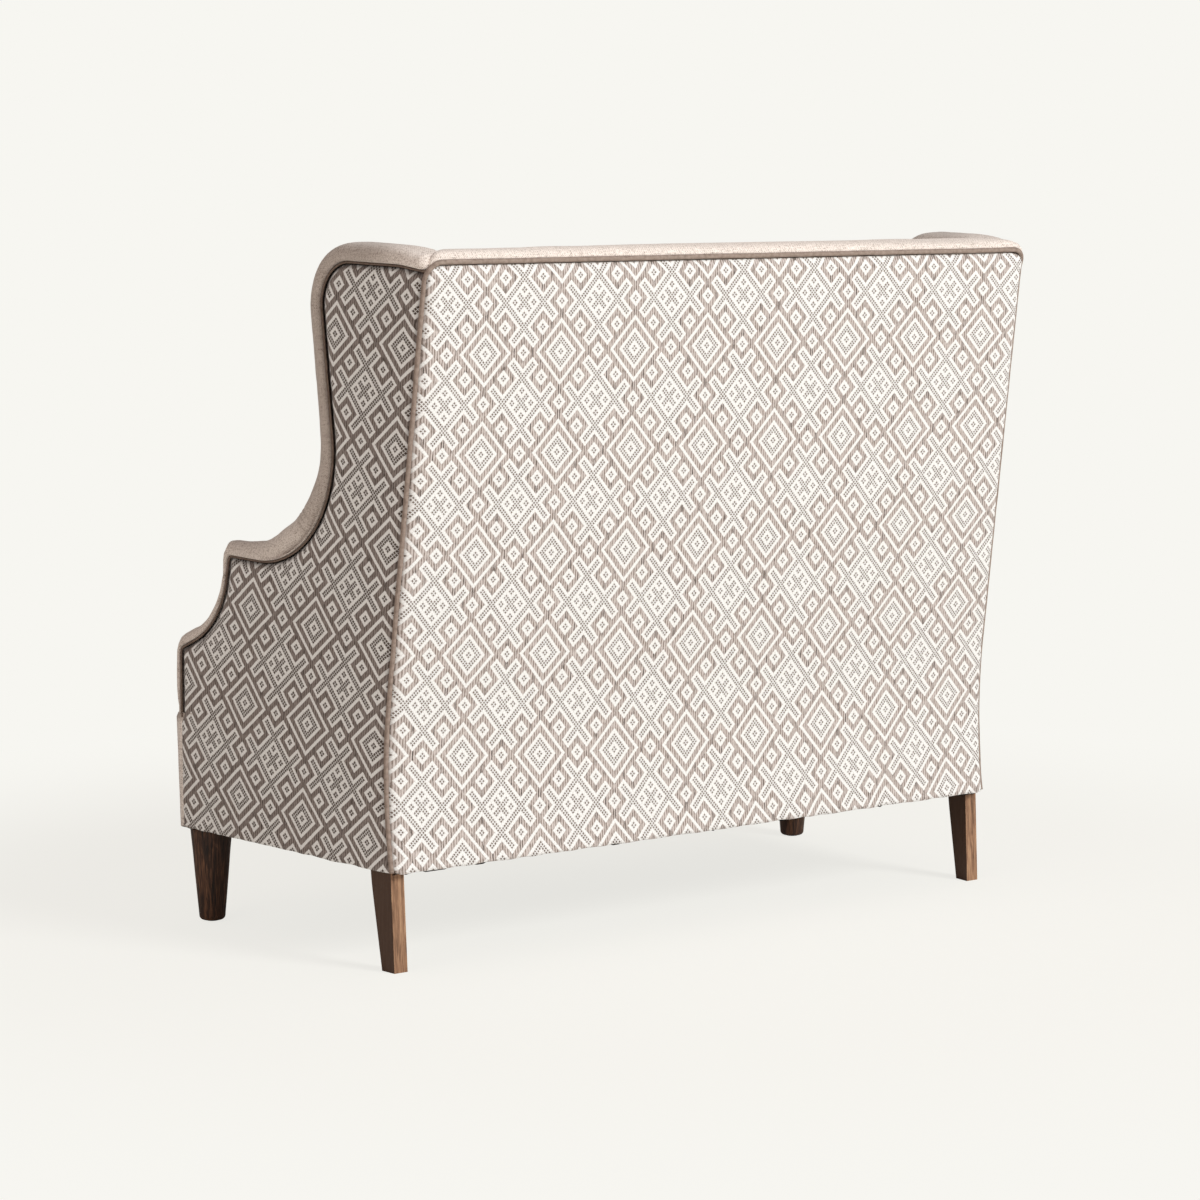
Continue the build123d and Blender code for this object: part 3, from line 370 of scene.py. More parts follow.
    # ground yarns stand upright, one every 4.6 mm
    column = add("SeparateXYZ", [shaken]).outputs[0]
    yarn = add("Math SINE", [add("Math MULTIPLY", [column, 2 * math.pi * jacquard["yarns"] * n])])
    stretched = add("VectorMath MULTIPLY", [place, (2 * n, n / 1.6, 1.0)])
    broken = add("TexNoise", {0: stretched, "Scale": 1.0, "Detail": 2.0, "Roughness": 0.6})
    strokeShade = add("MapRange", [add("Math MULTIPLY_ADD", [yarn, 0.2, broken]), 0.26, 0.63, 0.0, 1.0])
    # each bead is drawn darker towards its edges: painted shade round the raised beads; the same rounding raises them
    # in the bump
    beadShade = add("MapRange", [beadFar, 0.34, 0.5, 1.0, 0.35])
    ground = add("Mix", {0: strokeShade, 6: colours["groundDark"], 7: colours["ground"]}, data_type="RGBA")
    beads = add("Mix", {0: beadShade, 6: colours["whiteShade"], 7: colours["white"]}, data_type="RGBA")
    tied = add("Mix", {0: add("Math MULTIPLY", [figure, dots]), 6: ground, 7: colours["tie"]}, data_type="RGBA")
    # painted shade: where it is set, the ground and ties are multiplied towards the deep tint
    shadedColour = add("Mix", {0: shade, 6: tied, 7: colours["deep"]}, data_type="RGBA", blend_type="MULTIPLY")
    cloth = add("Mix", {0: white, 6: shadedColour, 7: beads}, data_type="RGBA")
    # painted shade: slits and the grooves of seams take the dark slit tint
    dark = add("Math MAXIMUM", [slits, seam])
    final = add("Mix", {0: dark, 6: cloth, 7: colours["slitShade"]}, data_type="RGBA")
    raised = add("Math MULTIPLY_ADD", [beadShade, 0.35, 0.45])
    height = add("Mix", {0: white, 2: add("Math MULTIPLY", [strokeShade, 0.3]), 3: raised})
    height = add("Math SUBTRACT", [height, slits])
    bump = add("Bump", {"Strength": 0.7, "Distance": jacquard["relief"] * mm, "Height": height})
    setSockets(shader, {"Base Color": final, "Normal": bump, **jacquard["finish"]})
    return material


# the deep and seam tints are painted shade: for rolls turned from the light, and for the grooves of seams and creases
linen = dict(
    light="#f6eee7", mid="#dfd4cb", dark="#89786c", deep="#7a6c61", seam="#6d5c4e", thread=1.9,
    warp=(1.6, 22.0), weft=(26.0, 1.7), speck=3.0, relief=0.6,
    finish={"Roughness": 0.9, "Specular IOR Level": 0.25, "Sheen Weight": 0.2, "Sheen Roughness": 0.6}
)


def makeLinen():
    # plain-weave linen: matt, flecked, with uneven threads both ways. Threads and flecks are drawn
    # two to three times as coarse as the 0.9 mm real ones, so that they show
    material, add, shader = newMaterial("plainLinen")
    place = add("Attribute", attribute_name="clothPlace").outputs["Vector"]
    seam, shade = (add("Attribute", attribute_name=name).outputs["Fac"] for name in ("seam", "shade"))
    wander = add("TexNoise", {0: place, "Scale": 0.06, "Detail": 2.0})
    bent = add("VectorMath MULTIPLY_ADD", [wander.outputs["Color"], (3.0, 3.0, 0.0), place])
    axes = add("SeparateXYZ", [bent]).outputs[:2]
    counted = [add("Math MULTIPLY", [axis, math.pi / linen["thread"]]) for axis in axes]
    weave = add("Math MULTIPLY", [add("Math SINE", [count]) for count in counted])
    drawn = [add("VectorMath MULTIPLY", [bent, (1 / wide, 1 / high, 1.0)])
             for wide, high in (linen["warp"], linen["weft"])]
    threads = [add("TexNoise", {0: spot, "Scale": 1.0, "Detail": 2.0}) for spot in drawn]
    slubs = add("Math MULTIPLY", [add("Math ADD", threads), 0.5])
    specks = add("TexNoise", {0: place, "Scale": 1 / linen["speck"], "Detail": 1.0})
    flecked = add("Math MULTIPLY_ADD", [add("Math SUBTRACT", [specks, 0.5]), 0.8, slubs])
    tone = add("Math MULTIPLY_ADD", [weave, 0.14, flecked])
    ramp = add("ValToRGB", [add("MapRange", [tone, 0.14, 0.86, 0.0, 1.0])])
    ramp.color_ramp.elements[0].color = linear(linen["dark"])
    ramp.color_ramp.elements[1].color = linear(linen["light"])
    ramp.color_ramp.elements.new(0.5).color = linear(linen["mid"])
    # painted shade: darker towards the deep tint where the rolls turn from the light, and towards the seam tint in
    # seams and creases
    shadedColour = add("Mix", {0: shade, 6: ramp, 7: linear(linen["deep"])}, data_type="RGBA", blend_type="MULTIPLY")
    final = add("Mix", {0: seam, 6: shadedColour, 7: linear(linen["seam"])}, data_type="RGBA")
    height = add("Math MULTIPLY_ADD", [weave, 0.4, slubs])
    bump = add("Bump", {"Strength": 0.5, "Distance": linen["relief"] * mm, "Height": height})
    setSockets(shader, {"Base Color": final, "Normal": bump, **linen["finish"]})
    return material


piping = {
    "back": dict(name="biasCottonPiping", light="#a8988d", dark="#75655b", thread=1.6, roughness=0.85),
    # the side welts are a darker copy of the same piping: painted shade, for welts on the shaded sides
    "side": dict(name="cottonPipingInPaintedShade", light="#86756a", dark="#54453b", thread=1.6, roughness=0.88),
}


def makePiping(look):
    # cotton cord cover cut on the bias: matt grey-brown with slanting threads
    material, add, shader = newMaterial(look["name"])
    place = add("Attribute", attribute_name="clothPlace").outputs["Vector"]
    axes = add("SeparateXYZ", [place]).outputs[:2]
    slants = [add("Math MULTIPLY", [add("Math " + way, axes), math.pi / look["thread"]])
              for way in ("ADD", "SUBTRACT")]
    weave = add("Math MULTIPLY", [add("Math SINE", [slant]) for slant in slants])
    patches = add("TexNoise", {0: place, "Scale": 0.15, "Detail": 3.0})
    tone = add("MapRange", [add("Math MULTIPLY_ADD", [weave, 0.22, patches]), 0.2, 0.8, 0.0, 1.0])
    colour = add("Mix", {0: tone, 6: linear(look["dark"]), 7: linear(look["light"])}, data_type="RGBA")
    bump = add("Bump", {"Strength": 0.5, "Distance": 0.4 * mm, "Height": weave})
    setSockets(shader, {"Base Color": colour, "Normal": bump, "Roughness": look["roughness"],
                        "Specular IOR Level": 0.25})
    return material


timber = {
    # sides is how far faces turned sideways are drawn in the dark tone: painted shade
    "rearLeg": dict(name="stainedHardwood", dark="#402a1b", mid="#88664d", light="#b18d6d", grain=2.4, roughness=0.52,
                    coat=0.02, sides=0.97),
    # the front legs' wood is drawn much darker than the rear legs': painted shade, for legs that stand in shade
    "frontLeg": dict(name="hardwoodInPaintedShade", dark="#120a06", mid="#382215", light="#6f4c35", grain=2.4,
                     roughness=0.55, coat=0.03, sides=0.0),
    "frameWood": dict(name="sawnBeech", dark="#a57e57", mid="#bf9870", light="#d3b08a", grain=3.2, roughness=0.75,
                      coat=0.0, sides=0.0),
    "board": dict(name="pressedFibreBoard", dark="#5c4634", mid="#6d5440", light="#7f654e", grain=2.0, roughness=0.85,
                  coat=0.0, sides=0.0),
}


def makeTimber(look):
    # sawn and stained timber: long grain upright, darker pores, worn lighter patches
    material, add, shader = newMaterial(look["name"])
    where = add("TexCoord").outputs["Object"]
    size = 1000.0 / look["grain"]
    long, wide = (add("VectorMath MULTIPLY", [where, scale])
                  for scale in ((size, size, size / 22), (120.0, 120.0, 9.0)))
    fibres = add("TexNoise", {0: long, "Scale": 1.0, "Detail": 4.0, "Roughness": 0.65, "Distortion": 0.6})
    rings = add("TexNoise", {0: wide, "Scale": 1.0, "Detail": 2.0, "Distortion": 1.2})
    tone = add("Math MULTIPLY_ADD", [rings, 0.55, add("Math MULTIPLY", [fibres, 0.5])])
    ramp = add("ValToRGB", [add("MapRange", [tone, 0.36, 0.7, 0.0, 1.0])])
    ramp.color_ramp.elements[0].color = linear(look["dark"])
    ramp.color_ramp.elements[1].color = linear(look["light"])
    ramp.color_ramp.elements.new(0.5).color = linear(look["mid"])
    # faces turned sideways are drawn in the dark tone: painted shade on the sides
    sideways = add("Math ABSOLUTE", [add("SeparateXYZ", [add("NewGeometry").outputs["Normal"]])])
    sideShade = add("MapRange", [sideways, 0.55, 0.85, 0.0, look["sides"]])
    colour = add("Mix", {0: sideShade, 6: ramp, 7: linear(look["dark"])}, data_type="RGBA")
    gloss = add("MapRange", [fibres, 0.3, 0.7, look["roughness"] + 0.12, look["roughness"] - 0.1])
    bump = add("Bump", {"Strength": 0.35, "Distance": 0.5 * mm, "Height": fibres})
    setSockets(shader, {"Base Color": colour, "Roughness": gloss, "Normal": bump, "Specular IOR Level": 0.3,
                        "Coat Weight": look["coat"], "Coat Roughness": 0.35})
    return material


plain = {
    "steel": dict(name="zincPlatedSteel", light="#b9bcbf", dark="#8d9194", size=6.0, metallic=1.0, roughness=0.38),
    "dustCloth": dict(name="spunBlackCloth", light="#17171a", dark="#08080a", size=3.0, metallic=0.0, roughness=0.95),
    "hessian": dict(name="juteHessian", light="#b59467", dark="#8b6c45", size=2.5, metallic=0.0, roughness=0.95),
    "foam": dict(name="cutFoam", light="#ded2ab", dark="#cbbd92", size=4.0, metallic=0.0, roughness=0.95),
    "glide": dict(name="mouldedNylon", light="#2b221d", dark="#171210", size=5.0, metallic=0.0, roughness=0.5),
}


def makePlain(look):
    # small fittings and hidden cloths: two close tones in a fine mottle, with roughness and bump to match
    material, add, shader = newMaterial(look["name"])
    mottle = add("TexNoise", {0: add("TexCoord").outputs["Object"], "Scale": 1000.0 / look["size"], "Detail": 3.0})
    colour = add("Mix", {0: mottle, 6: linear(look["dark"]), 7: linear(look["light"])}, data_type="RGBA")
    gloss = add("MapRange", [mottle, 0.3, 0.7, look["roughness"] - 0.06, min(1.0, look["roughness"] + 0.06)])
    bump = add("Bump", {"Strength": 0.3, "Distance": 0.3 * mm, "Height": mottle})
    setSockets(shader, {"Base Color": colour, "Roughness": gloss, "Normal": bump, "Metallic": look["metallic"]})
    return material


wovenCloth, linenCloth = makeJacquard(), makeLinen()
pipingCloth, shadedPiping = makePiping(piping["back"]), makePiping(piping["side"])
legWood, shadedLegWood, beech, board = (makeTimber(timber[k]) for k in ("rearLeg", "frontLeg", "frameWood", "board"))
steel, dustCloth, jute, foam, nylon = (makePlain(plain[k]) for k in ("steel", "dustCloth", "hessian", "foam", "glide"))
slotLooks = {"woven_fabric": wovenCloth, "linen": linenCloth, "welt": pipingCloth, "leg_wood": legWood,
             "frame_wood": beech, "backing_board": board, "steel": steel, "dust_cloth": dustCloth, "hessian": jute,
             "foam": foam, "glide_plastic": nylon}
for part in frame["record"]["subparts"]:
    node = nodes[part["node"]]
    node.data.materials.clear()
    node.data.materials.append(slotLooks[part["material_slot"]])
print("materials made")

# outline of the outside arm and wing along its welt, from the rear top round to the hem
armOutline = dict(
    wingFront=-167.0, wingTop=1076.0, wingRound=66.0, rearZ=1070.0, rearSag=6.0, sagRun=80.0,
    scoop=(-110.0, 598.0), scoopRound=185.0, armTip=(-402.0, 606.0), tipRound=8.0, armFoot=(-425.0, 493.0),
    footRound=150.0, shoulder=446.0, shoulderRound=12.0, front=-535.0, frontZone=-500.0
)
rearTop = float(backY(settee["backTop"]))
fall = (armOutline["wingTop"] - armOutline["rearZ"]) / (rearTop - armOutline["wingFront"])


def weltLine(rear, foot, step):
    cfg = armOutline
    wing, front = (cfg["wingFront"], cfg["wingTop"]), (cfg["front"], cfg["shoulder"])
    corners = [(rear, wing[1] - fall * (rear - wing[0])), wing, cfg["scoop"], cfg["armTip"], cfg["armFoot"], front,
               (cfg["front"], foot)]
    rounds = [cfg[name + "Round"] for name in ("wing", "scoop", "tip", "foot", "shoulder")]
    line, run = roundedLine(corners, rounds, step, 2.0)
    line[:, 1] -= cfg["rearSag"] * smooth(line[:, 0], rearTop - cfg["sagRun"], rearTop)
    return line, run


def lineNormals(line):
    way = np.gradient(line, axis=0)
    way /= np.linalg.norm(way, axis=1)[:, None]
    return np.stack([way[:, 1], -way[:, 0]], 1)


# woven cover of the back: it rolls in at the sides, down to the welt
# its seam values are painted shade in the groove along the welt
backCover = dict(
    columns=190, crowding=0.93, rows=130, topBand=30.0, topRows=14, gap=1.5, topGap=5.0, edgeRound=16.0,
    edgeDrop=12.0, edgeEase=45.0, edgeLeast=0.35, topDrop=4.0, topWidth=7.0, swell=4.0, swellSide=35.0,
    swellTop=45.0, swellHem=120.0, lumps=((0.8, 70, 1), (0.5, 24, 2)), calmTop=(6, 40),
    edgeWave=((0.8, 18, 30),), waveFrom=(560, 600), hemWave=((1.6, 28, 3),), hemShares=(1.0, 0.5, 0.2),
    cornerLift=5.0, cornerWidth=14.0, seam=0.45, seamWidth=2.5
)
# how its figure lies: repeats and their places, then how the cloth bows where it is pulled over the frame
backLay = dict(
    columnPitch=143.2, rowPitch=161.0, columnAt=3.34, rowAt=2.0, middleRun=458.1, columnSkew=-0.109,
    columnBow=0.059, rowBow=0.077, rowDraw=-0.034, spread=(0.064, 0.095), wide=500.0, high=400.0
)


def backCloth(x, run):
    cfg = backLay
    down = run - cfg["middleRun"]
    a, b = x / cfg["wide"], down / cfg["high"]
    column = cfg["columnAt"] - x / cfg["columnPitch"] + cfg["columnSkew"] * b + cfg["columnBow"] * b ** 2
    row = cfg["rowAt"] + down / cfg["rowPitch"] + cfg["rowBow"] * a ** 2 + cfg["rowDraw"] * b ** 2
    return np.stack([column, row], -1) + np.multiply.outer(a ** 2 * b, cfg["spread"])


def foldCloth(low, pitch):
    # places on the cloth of the two rows under a hem
    return [low + [0, hemFold["edge"] / pitch], low + [0, (hemFold["turn"] + 1) / pitch]]


def makeBackCover():
    cfg = backCover
    top, hem = settee["backTop"] - cfg["topGap"], settee["hem"]
    fine = 1 - np.cos(np.linspace(0, math.pi / 2, cfg["topRows"])[:-1])
    z = np.r_[top - cfg["topBand"] * fine, np.linspace(top - cfg["topBand"], hem, cfg["rows"])]
    across = crowded(cfg["columns"], cfg["crowding"])
    corner = settee["cornerRound"] - cfg["topGap"]
    points = []
    for level in z:
        y = float(backY(level))
        half = sideX(y, -cfg["gap"])
        drop = top - level
        if drop < corner:
            half -= corner - math.sqrt(max(corner ** 2 - (corner - drop) ** 2, 0))
        x = half * across
        edge = half - np.abs(x)
        sideDrop = cfg["edgeDrop"] * roundOff(np.clip(1 - edge / cfg["edgeRound"], 0, 1))
        sideDrop *= cfg["edgeLeast"] + (1 - cfg["edgeLeast"]) * smooth(drop, 0, cfg["edgeEase"])
        puff = cfg["swell"] * (1 - np.exp(-edge / cfg["swellSide"])) * (1 - math.exp(-drop / cfg["swellTop"]))
        puff *= smooth(level, hem, hem + cfg["swellHem"])
        depth = settee["waistY"] + y - sideDrop - cfg["topDrop"] * fade(drop, cfg["topWidth"]) + puff
        points.append(np.stack([x, depth, np.full_like(x, level)], 1))
    points = np.array(points)
    flat = points.reshape(-1, 3)
    flat[:, 1] += lumpy(flat, cfg["lumps"]) * smooth(settee["backTop"] - flat[:, 2], *cfg["calmTop"])
    flat[:, 0] += lumpy(flat, cfg["edgeWave"]) * smooth(np.abs(flat[:, 0]), *cfg["waveFrom"])
    cloth = backCloth(flat[:, 0], np.repeat(backRun(z), cfg["columns"]))
    # wavy hem with eased corners, turned under the frame
    last = points[-1]
    edge = np.abs(last[0, 0]) - np.abs(last[:, 0])
    lift = lumpy(last * [1, 0, 0], cfg["hemWave"])
    lift += cfg["cornerLift"] * np.clip(1 - edge / cfg["cornerWidth"], 0, 1) ** 2
    for back, share in enumerate(cfg["hemShares"], 1):
        points[-back, :, 2] += lift * share
    points = np.concatenate([points, hemRows(points[-1], (0, -1, 0))])
    cloth = np.concatenate([cloth, *foldCloth(cloth[-cfg["columns"]:], backLay["rowPitch"])])
    # painted shade in the groove where the cover's sides meet the welt
    edge = np.abs(points[:, -1:, 0]) - np.abs(points[..., 0])
    seam = cfg["seam"] * fade(edge, cfg["seamWidth"])
    return addPiece("outsideBackCover", points, gridFaces(*points.shape[:2]), cloth, seam, flip=True)


backPiece = dress(makeBackCover(), wovenCloth, ["outside_back_cover"], 2.5)
print("back cover made")

# woven covers of the outside arms and wings
# the cover's shade value darkens its ground and enlarges its tie dots all over: painted shade, as the outside arms
# face away from the light; the rear and edge seam values are painted shade in the grooves at the rear and along the
# welt
armCover = dict(
    net=8.0, step=6.0, gap=3.0, frontReach=9.0, frontTop=(322, 344), rearGap=14.5, rearRows=150, hemCount=80,
    tuck=4.5, tuckWidth=5.5, swell=3.5, swellSide=40.0, swellHem=120.0, rearDrop=7.0, rearRound=24.0,
    lumps=((0.8, 60, 4), (0.5, 22, 5)), calmEdge=(4, 30), hemWave=((1.6, 28, 6),), shade=0.6,
    rearSeamShade=(0.6, 3.0), edgeSeamShade=(0.45, 2.2)
)
# how its figure lies: the cloth was laid a little askew
armLay = dict(
    columnPitch=163.0, rowPitch=152.9, columnAt=-0.03, rowAt=2.32, middleZ=600.0, columnTilt=0.307,
    rowTilt=-0.185, high=400.0, wide=300.0
)


def armCloth(w, z):
    cfg = armLay
    up = z - cfg["middleZ"]
    column = cfg["columnAt"] - w / cfg["columnPitch"] + cfg["columnTilt"] * up / cfg["high"]
    row = cfg["rowAt"] - up / cfg["rowPitch"] + cfg["rowTilt"] * w / cfg["wide"]
    return np.stack([column, row], -1)


def makeArmCover(hand, name):
    cfg, hem = armCover, settee["hem"]
    line, _ = weltLine(rearTop, hem, cfg["step"])
    # below the seat border the cloth runs out to the front edge
    atFront = (line[:, 0] < armOutline["frontZone"]) * (1 - smooth(line[:, 1], *cfg["frontTop"]))
    inner = line - lineNormals(line) * (cfg["gap"] - cfg["frontReach"] * atFront)[:, None]
    rearZ = np.linspace(hem, armOutline["rearZ"] - armOutline["rearSag"] - cfg["gap"] - 2, cfg["rearRows"])
    rear = np.stack([(backY(rearZ) - cfg["rearGap"]) / cosF, rearZ], 1)
    inner = inner[inner[:, 0] < rear[-1, 0] - 4]
    inner[-1, 1] = hem
    hemW = np.linspace(inner[-1, 0], rear[0, 0], cfg["hemCount"])[1:-1]
    hemLine = np.stack([hemW, np.full_like(hemW, hem)], 1)
    flat, faces = fillOutline(np.concatenate([inner, hemLine, rear]), cfg["net"])
    w, z = flat.T
    toEdge, toRear = edgeDistance(flat, inner), edgeDistance(flat, rear)
    q = cfg["swell"] * (1 - np.exp(-toEdge / cfg["swellSide"])) * (1 - np.exp(-toRear / cfg["swellSide"]))
    q *= smooth(z, hem, hem + cfg["swellHem"])
    q -= cfg["tuck"] * fade(toEdge, cfg["tuckWidth"])
    q -= cfg["rearDrop"] * roundOff(np.clip(1 - toRear / cfg["rearRound"], 0, 1))
    q += lumpy(np.stack([w, z, np.full_like(w, 50.0 * hand)], 1), cfg["lumps"]) * smooth(toEdge, *cfg["calmEdge"])
    points, cloth = sidePoint(w, z, q), armCloth(w, z)
    # wavy hem, turned under the frame
    order = sorted(range(len(inner) - 1, len(inner) + len(hemW) + 1), key=lambda k: w[k])
    spots = np.stack([w[order], np.full(len(order), 30.0 * hand), np.zeros(len(order))], 1)
    points[order, 2] += lumpy(spots, cfg["hemWave"])
    count, n = len(points), len(order)
    points = np.concatenate([points, *hemRows(points[order], (-1, 0, 0))])
    cloth = np.concatenate([cloth, *foldCloth(cloth[order], armLay["rowPitch"])])
    for k in range(n - 1):
        faces.append((order[k], count + k, count + k + 1, order[k + 1]))
        faces.append((count + k, count + n + k, count + n + k + 1, count + k + 1))
    # painted shade in the grooves at the cover's rear and along its welt
    seam = np.zeros(len(points))
    seam[:count] = np.maximum(*(dark * fade(away, wide) for away, (dark, wide) in
                                ((toRear, cfg["rearSeamShade"]), (toEdge, cfg["edgeSeamShade"]))))
    piece = addPiece(name, points, faces, cloth, seam, hand=hand, shade=cfg["shade"])
    faceOut(piece, Vector((hand, 0, 0)))
    return piece


for hand, sideName in bothSides:
    piece = makeArmCover(hand, "outsideArmCover." + sideName)
    dress(piece, wovenCloth, ["outside_arm_cover_" + sideName], 2.5)
print("arm covers made")

# linen rolls and inside panels of arm and wing
# shade, scoopShade and the welt seam value are painted shade: a darker roll where it turns from the light, and a dark
# line beside the welt
armRoll = dict(
    step=6.0, roll=29.0, rearRoll=23.0, rearRun=85.0, frontRoll=9.0, shoulderRoll=20.0, tipRoll=24.0,
    armRise=10.0, armTilt=7.0, proud=7.0, frontProud=3.5, outerRound=0.64, outerMost=20.0, innerRound=30.0,
    endRound=14.0, rearGap=12.0, scoopFill=15.0, scoopSpan=105.0, footThin=0.6, footTop=385.0, shade=0.5,
    scoopShade=0.55, lumps=((0.9, 55, 7), (0.5, 20, 8)), gather=1.3, gatherPitch=6.5, seamAt=30.0, seamDip=1.6,
    seamWidth=2.5, pleats=(-16.0, -5.0, 9.0), pleatDip=1.7, pleatWidth=2.4, weltSeamShade=0.6
)
armPanel = dict(net=11.0, crown=7.0, rearInset=60.0, lumps=((1.0, 90, 9), (0.4, 28, 10)), clothShift=900.0)


def rollSection(roll, proud, tilt, count=14, flatCount=6):
    # from the welt, out and over the roll, to the inside face: pairs of (beyond the welt line, out of the cover)
    cfg, wall = armRoll, settee["wall"]
    r1, r2 = min(cfg["outerMost"], cfg["outerRound"] * roll), cfg["innerRound"]
    shape = [(2.6, -5.0), (2.2, proud * 0.2), (3.0, proud * 0.58)]
    start = math.asin(min(1, max(-1, (5.0 - roll + r1) / r1)))
    for angle in np.linspace(start, math.pi / 2, count):
        shape.append((roll - r1 + r1 * math.sin(angle), proud - r1 + r1 * math.cos(angle)))
    for t in (k / flatCount for k in range(1, flatCount)):
        shape.append((roll + 1.2 * math.sin(math.pi * t) - tilt * t ** 1.5, proud - r1 + (r2 - wall - proud + r1) * t))
    for angle in np.linspace(0, math.pi / 2, count):
        shape.append((roll - tilt - r2 + r2 * math.cos(angle), r2 - wall - r2 * math.sin(angle)))
    return np.array(shape)


def rollWidth(line, normal, run, scoopRun, tipRun):
    # full over wing and arm, with a square end at the arm's tip, fuller in the scoop and thin down the front
    cfg = armRoll
    upward = cfg["tipRoll"] + cfg["armRise"] * smooth(tipRun - run, 8, 130)
    upward += (cfg["shoulderRoll"] - cfg["tipRoll"]) * smooth(run, tipRun + 5, tipRun + 60)
    forward = cfg["roll"] + (cfg["frontRoll"] - cfg["roll"]) * smooth(run, scoopRun + 90, tipRun - 30)
    shares = np.clip(np.stack([normal[:, 1], -normal[:, 0]], 1), 0, None) / np.stack([upward, forward], 1)
    squared = (shares ** 6).sum(1) ** (-1 / 6)
    width = cfg["roll"] + (squared - cfg["roll"]) * smooth(run, scoopRun + 20, scoopRun + 90)
    width += (cfg["rearRoll"] - cfg["roll"]) * (1 - smooth(run, 0, cfg["rearRun"]))
    width += cfg["scoopFill"] * fade(run - scoopRun, cfg["scoopSpan"])
    atFoot = (line[:, 0] < armOutline["frontZone"]) * (1 - smooth(line[:, 1], settee["borderTop"], cfg["footTop"]))
    return width * (1 - cfg["footThin"] * atFoot)


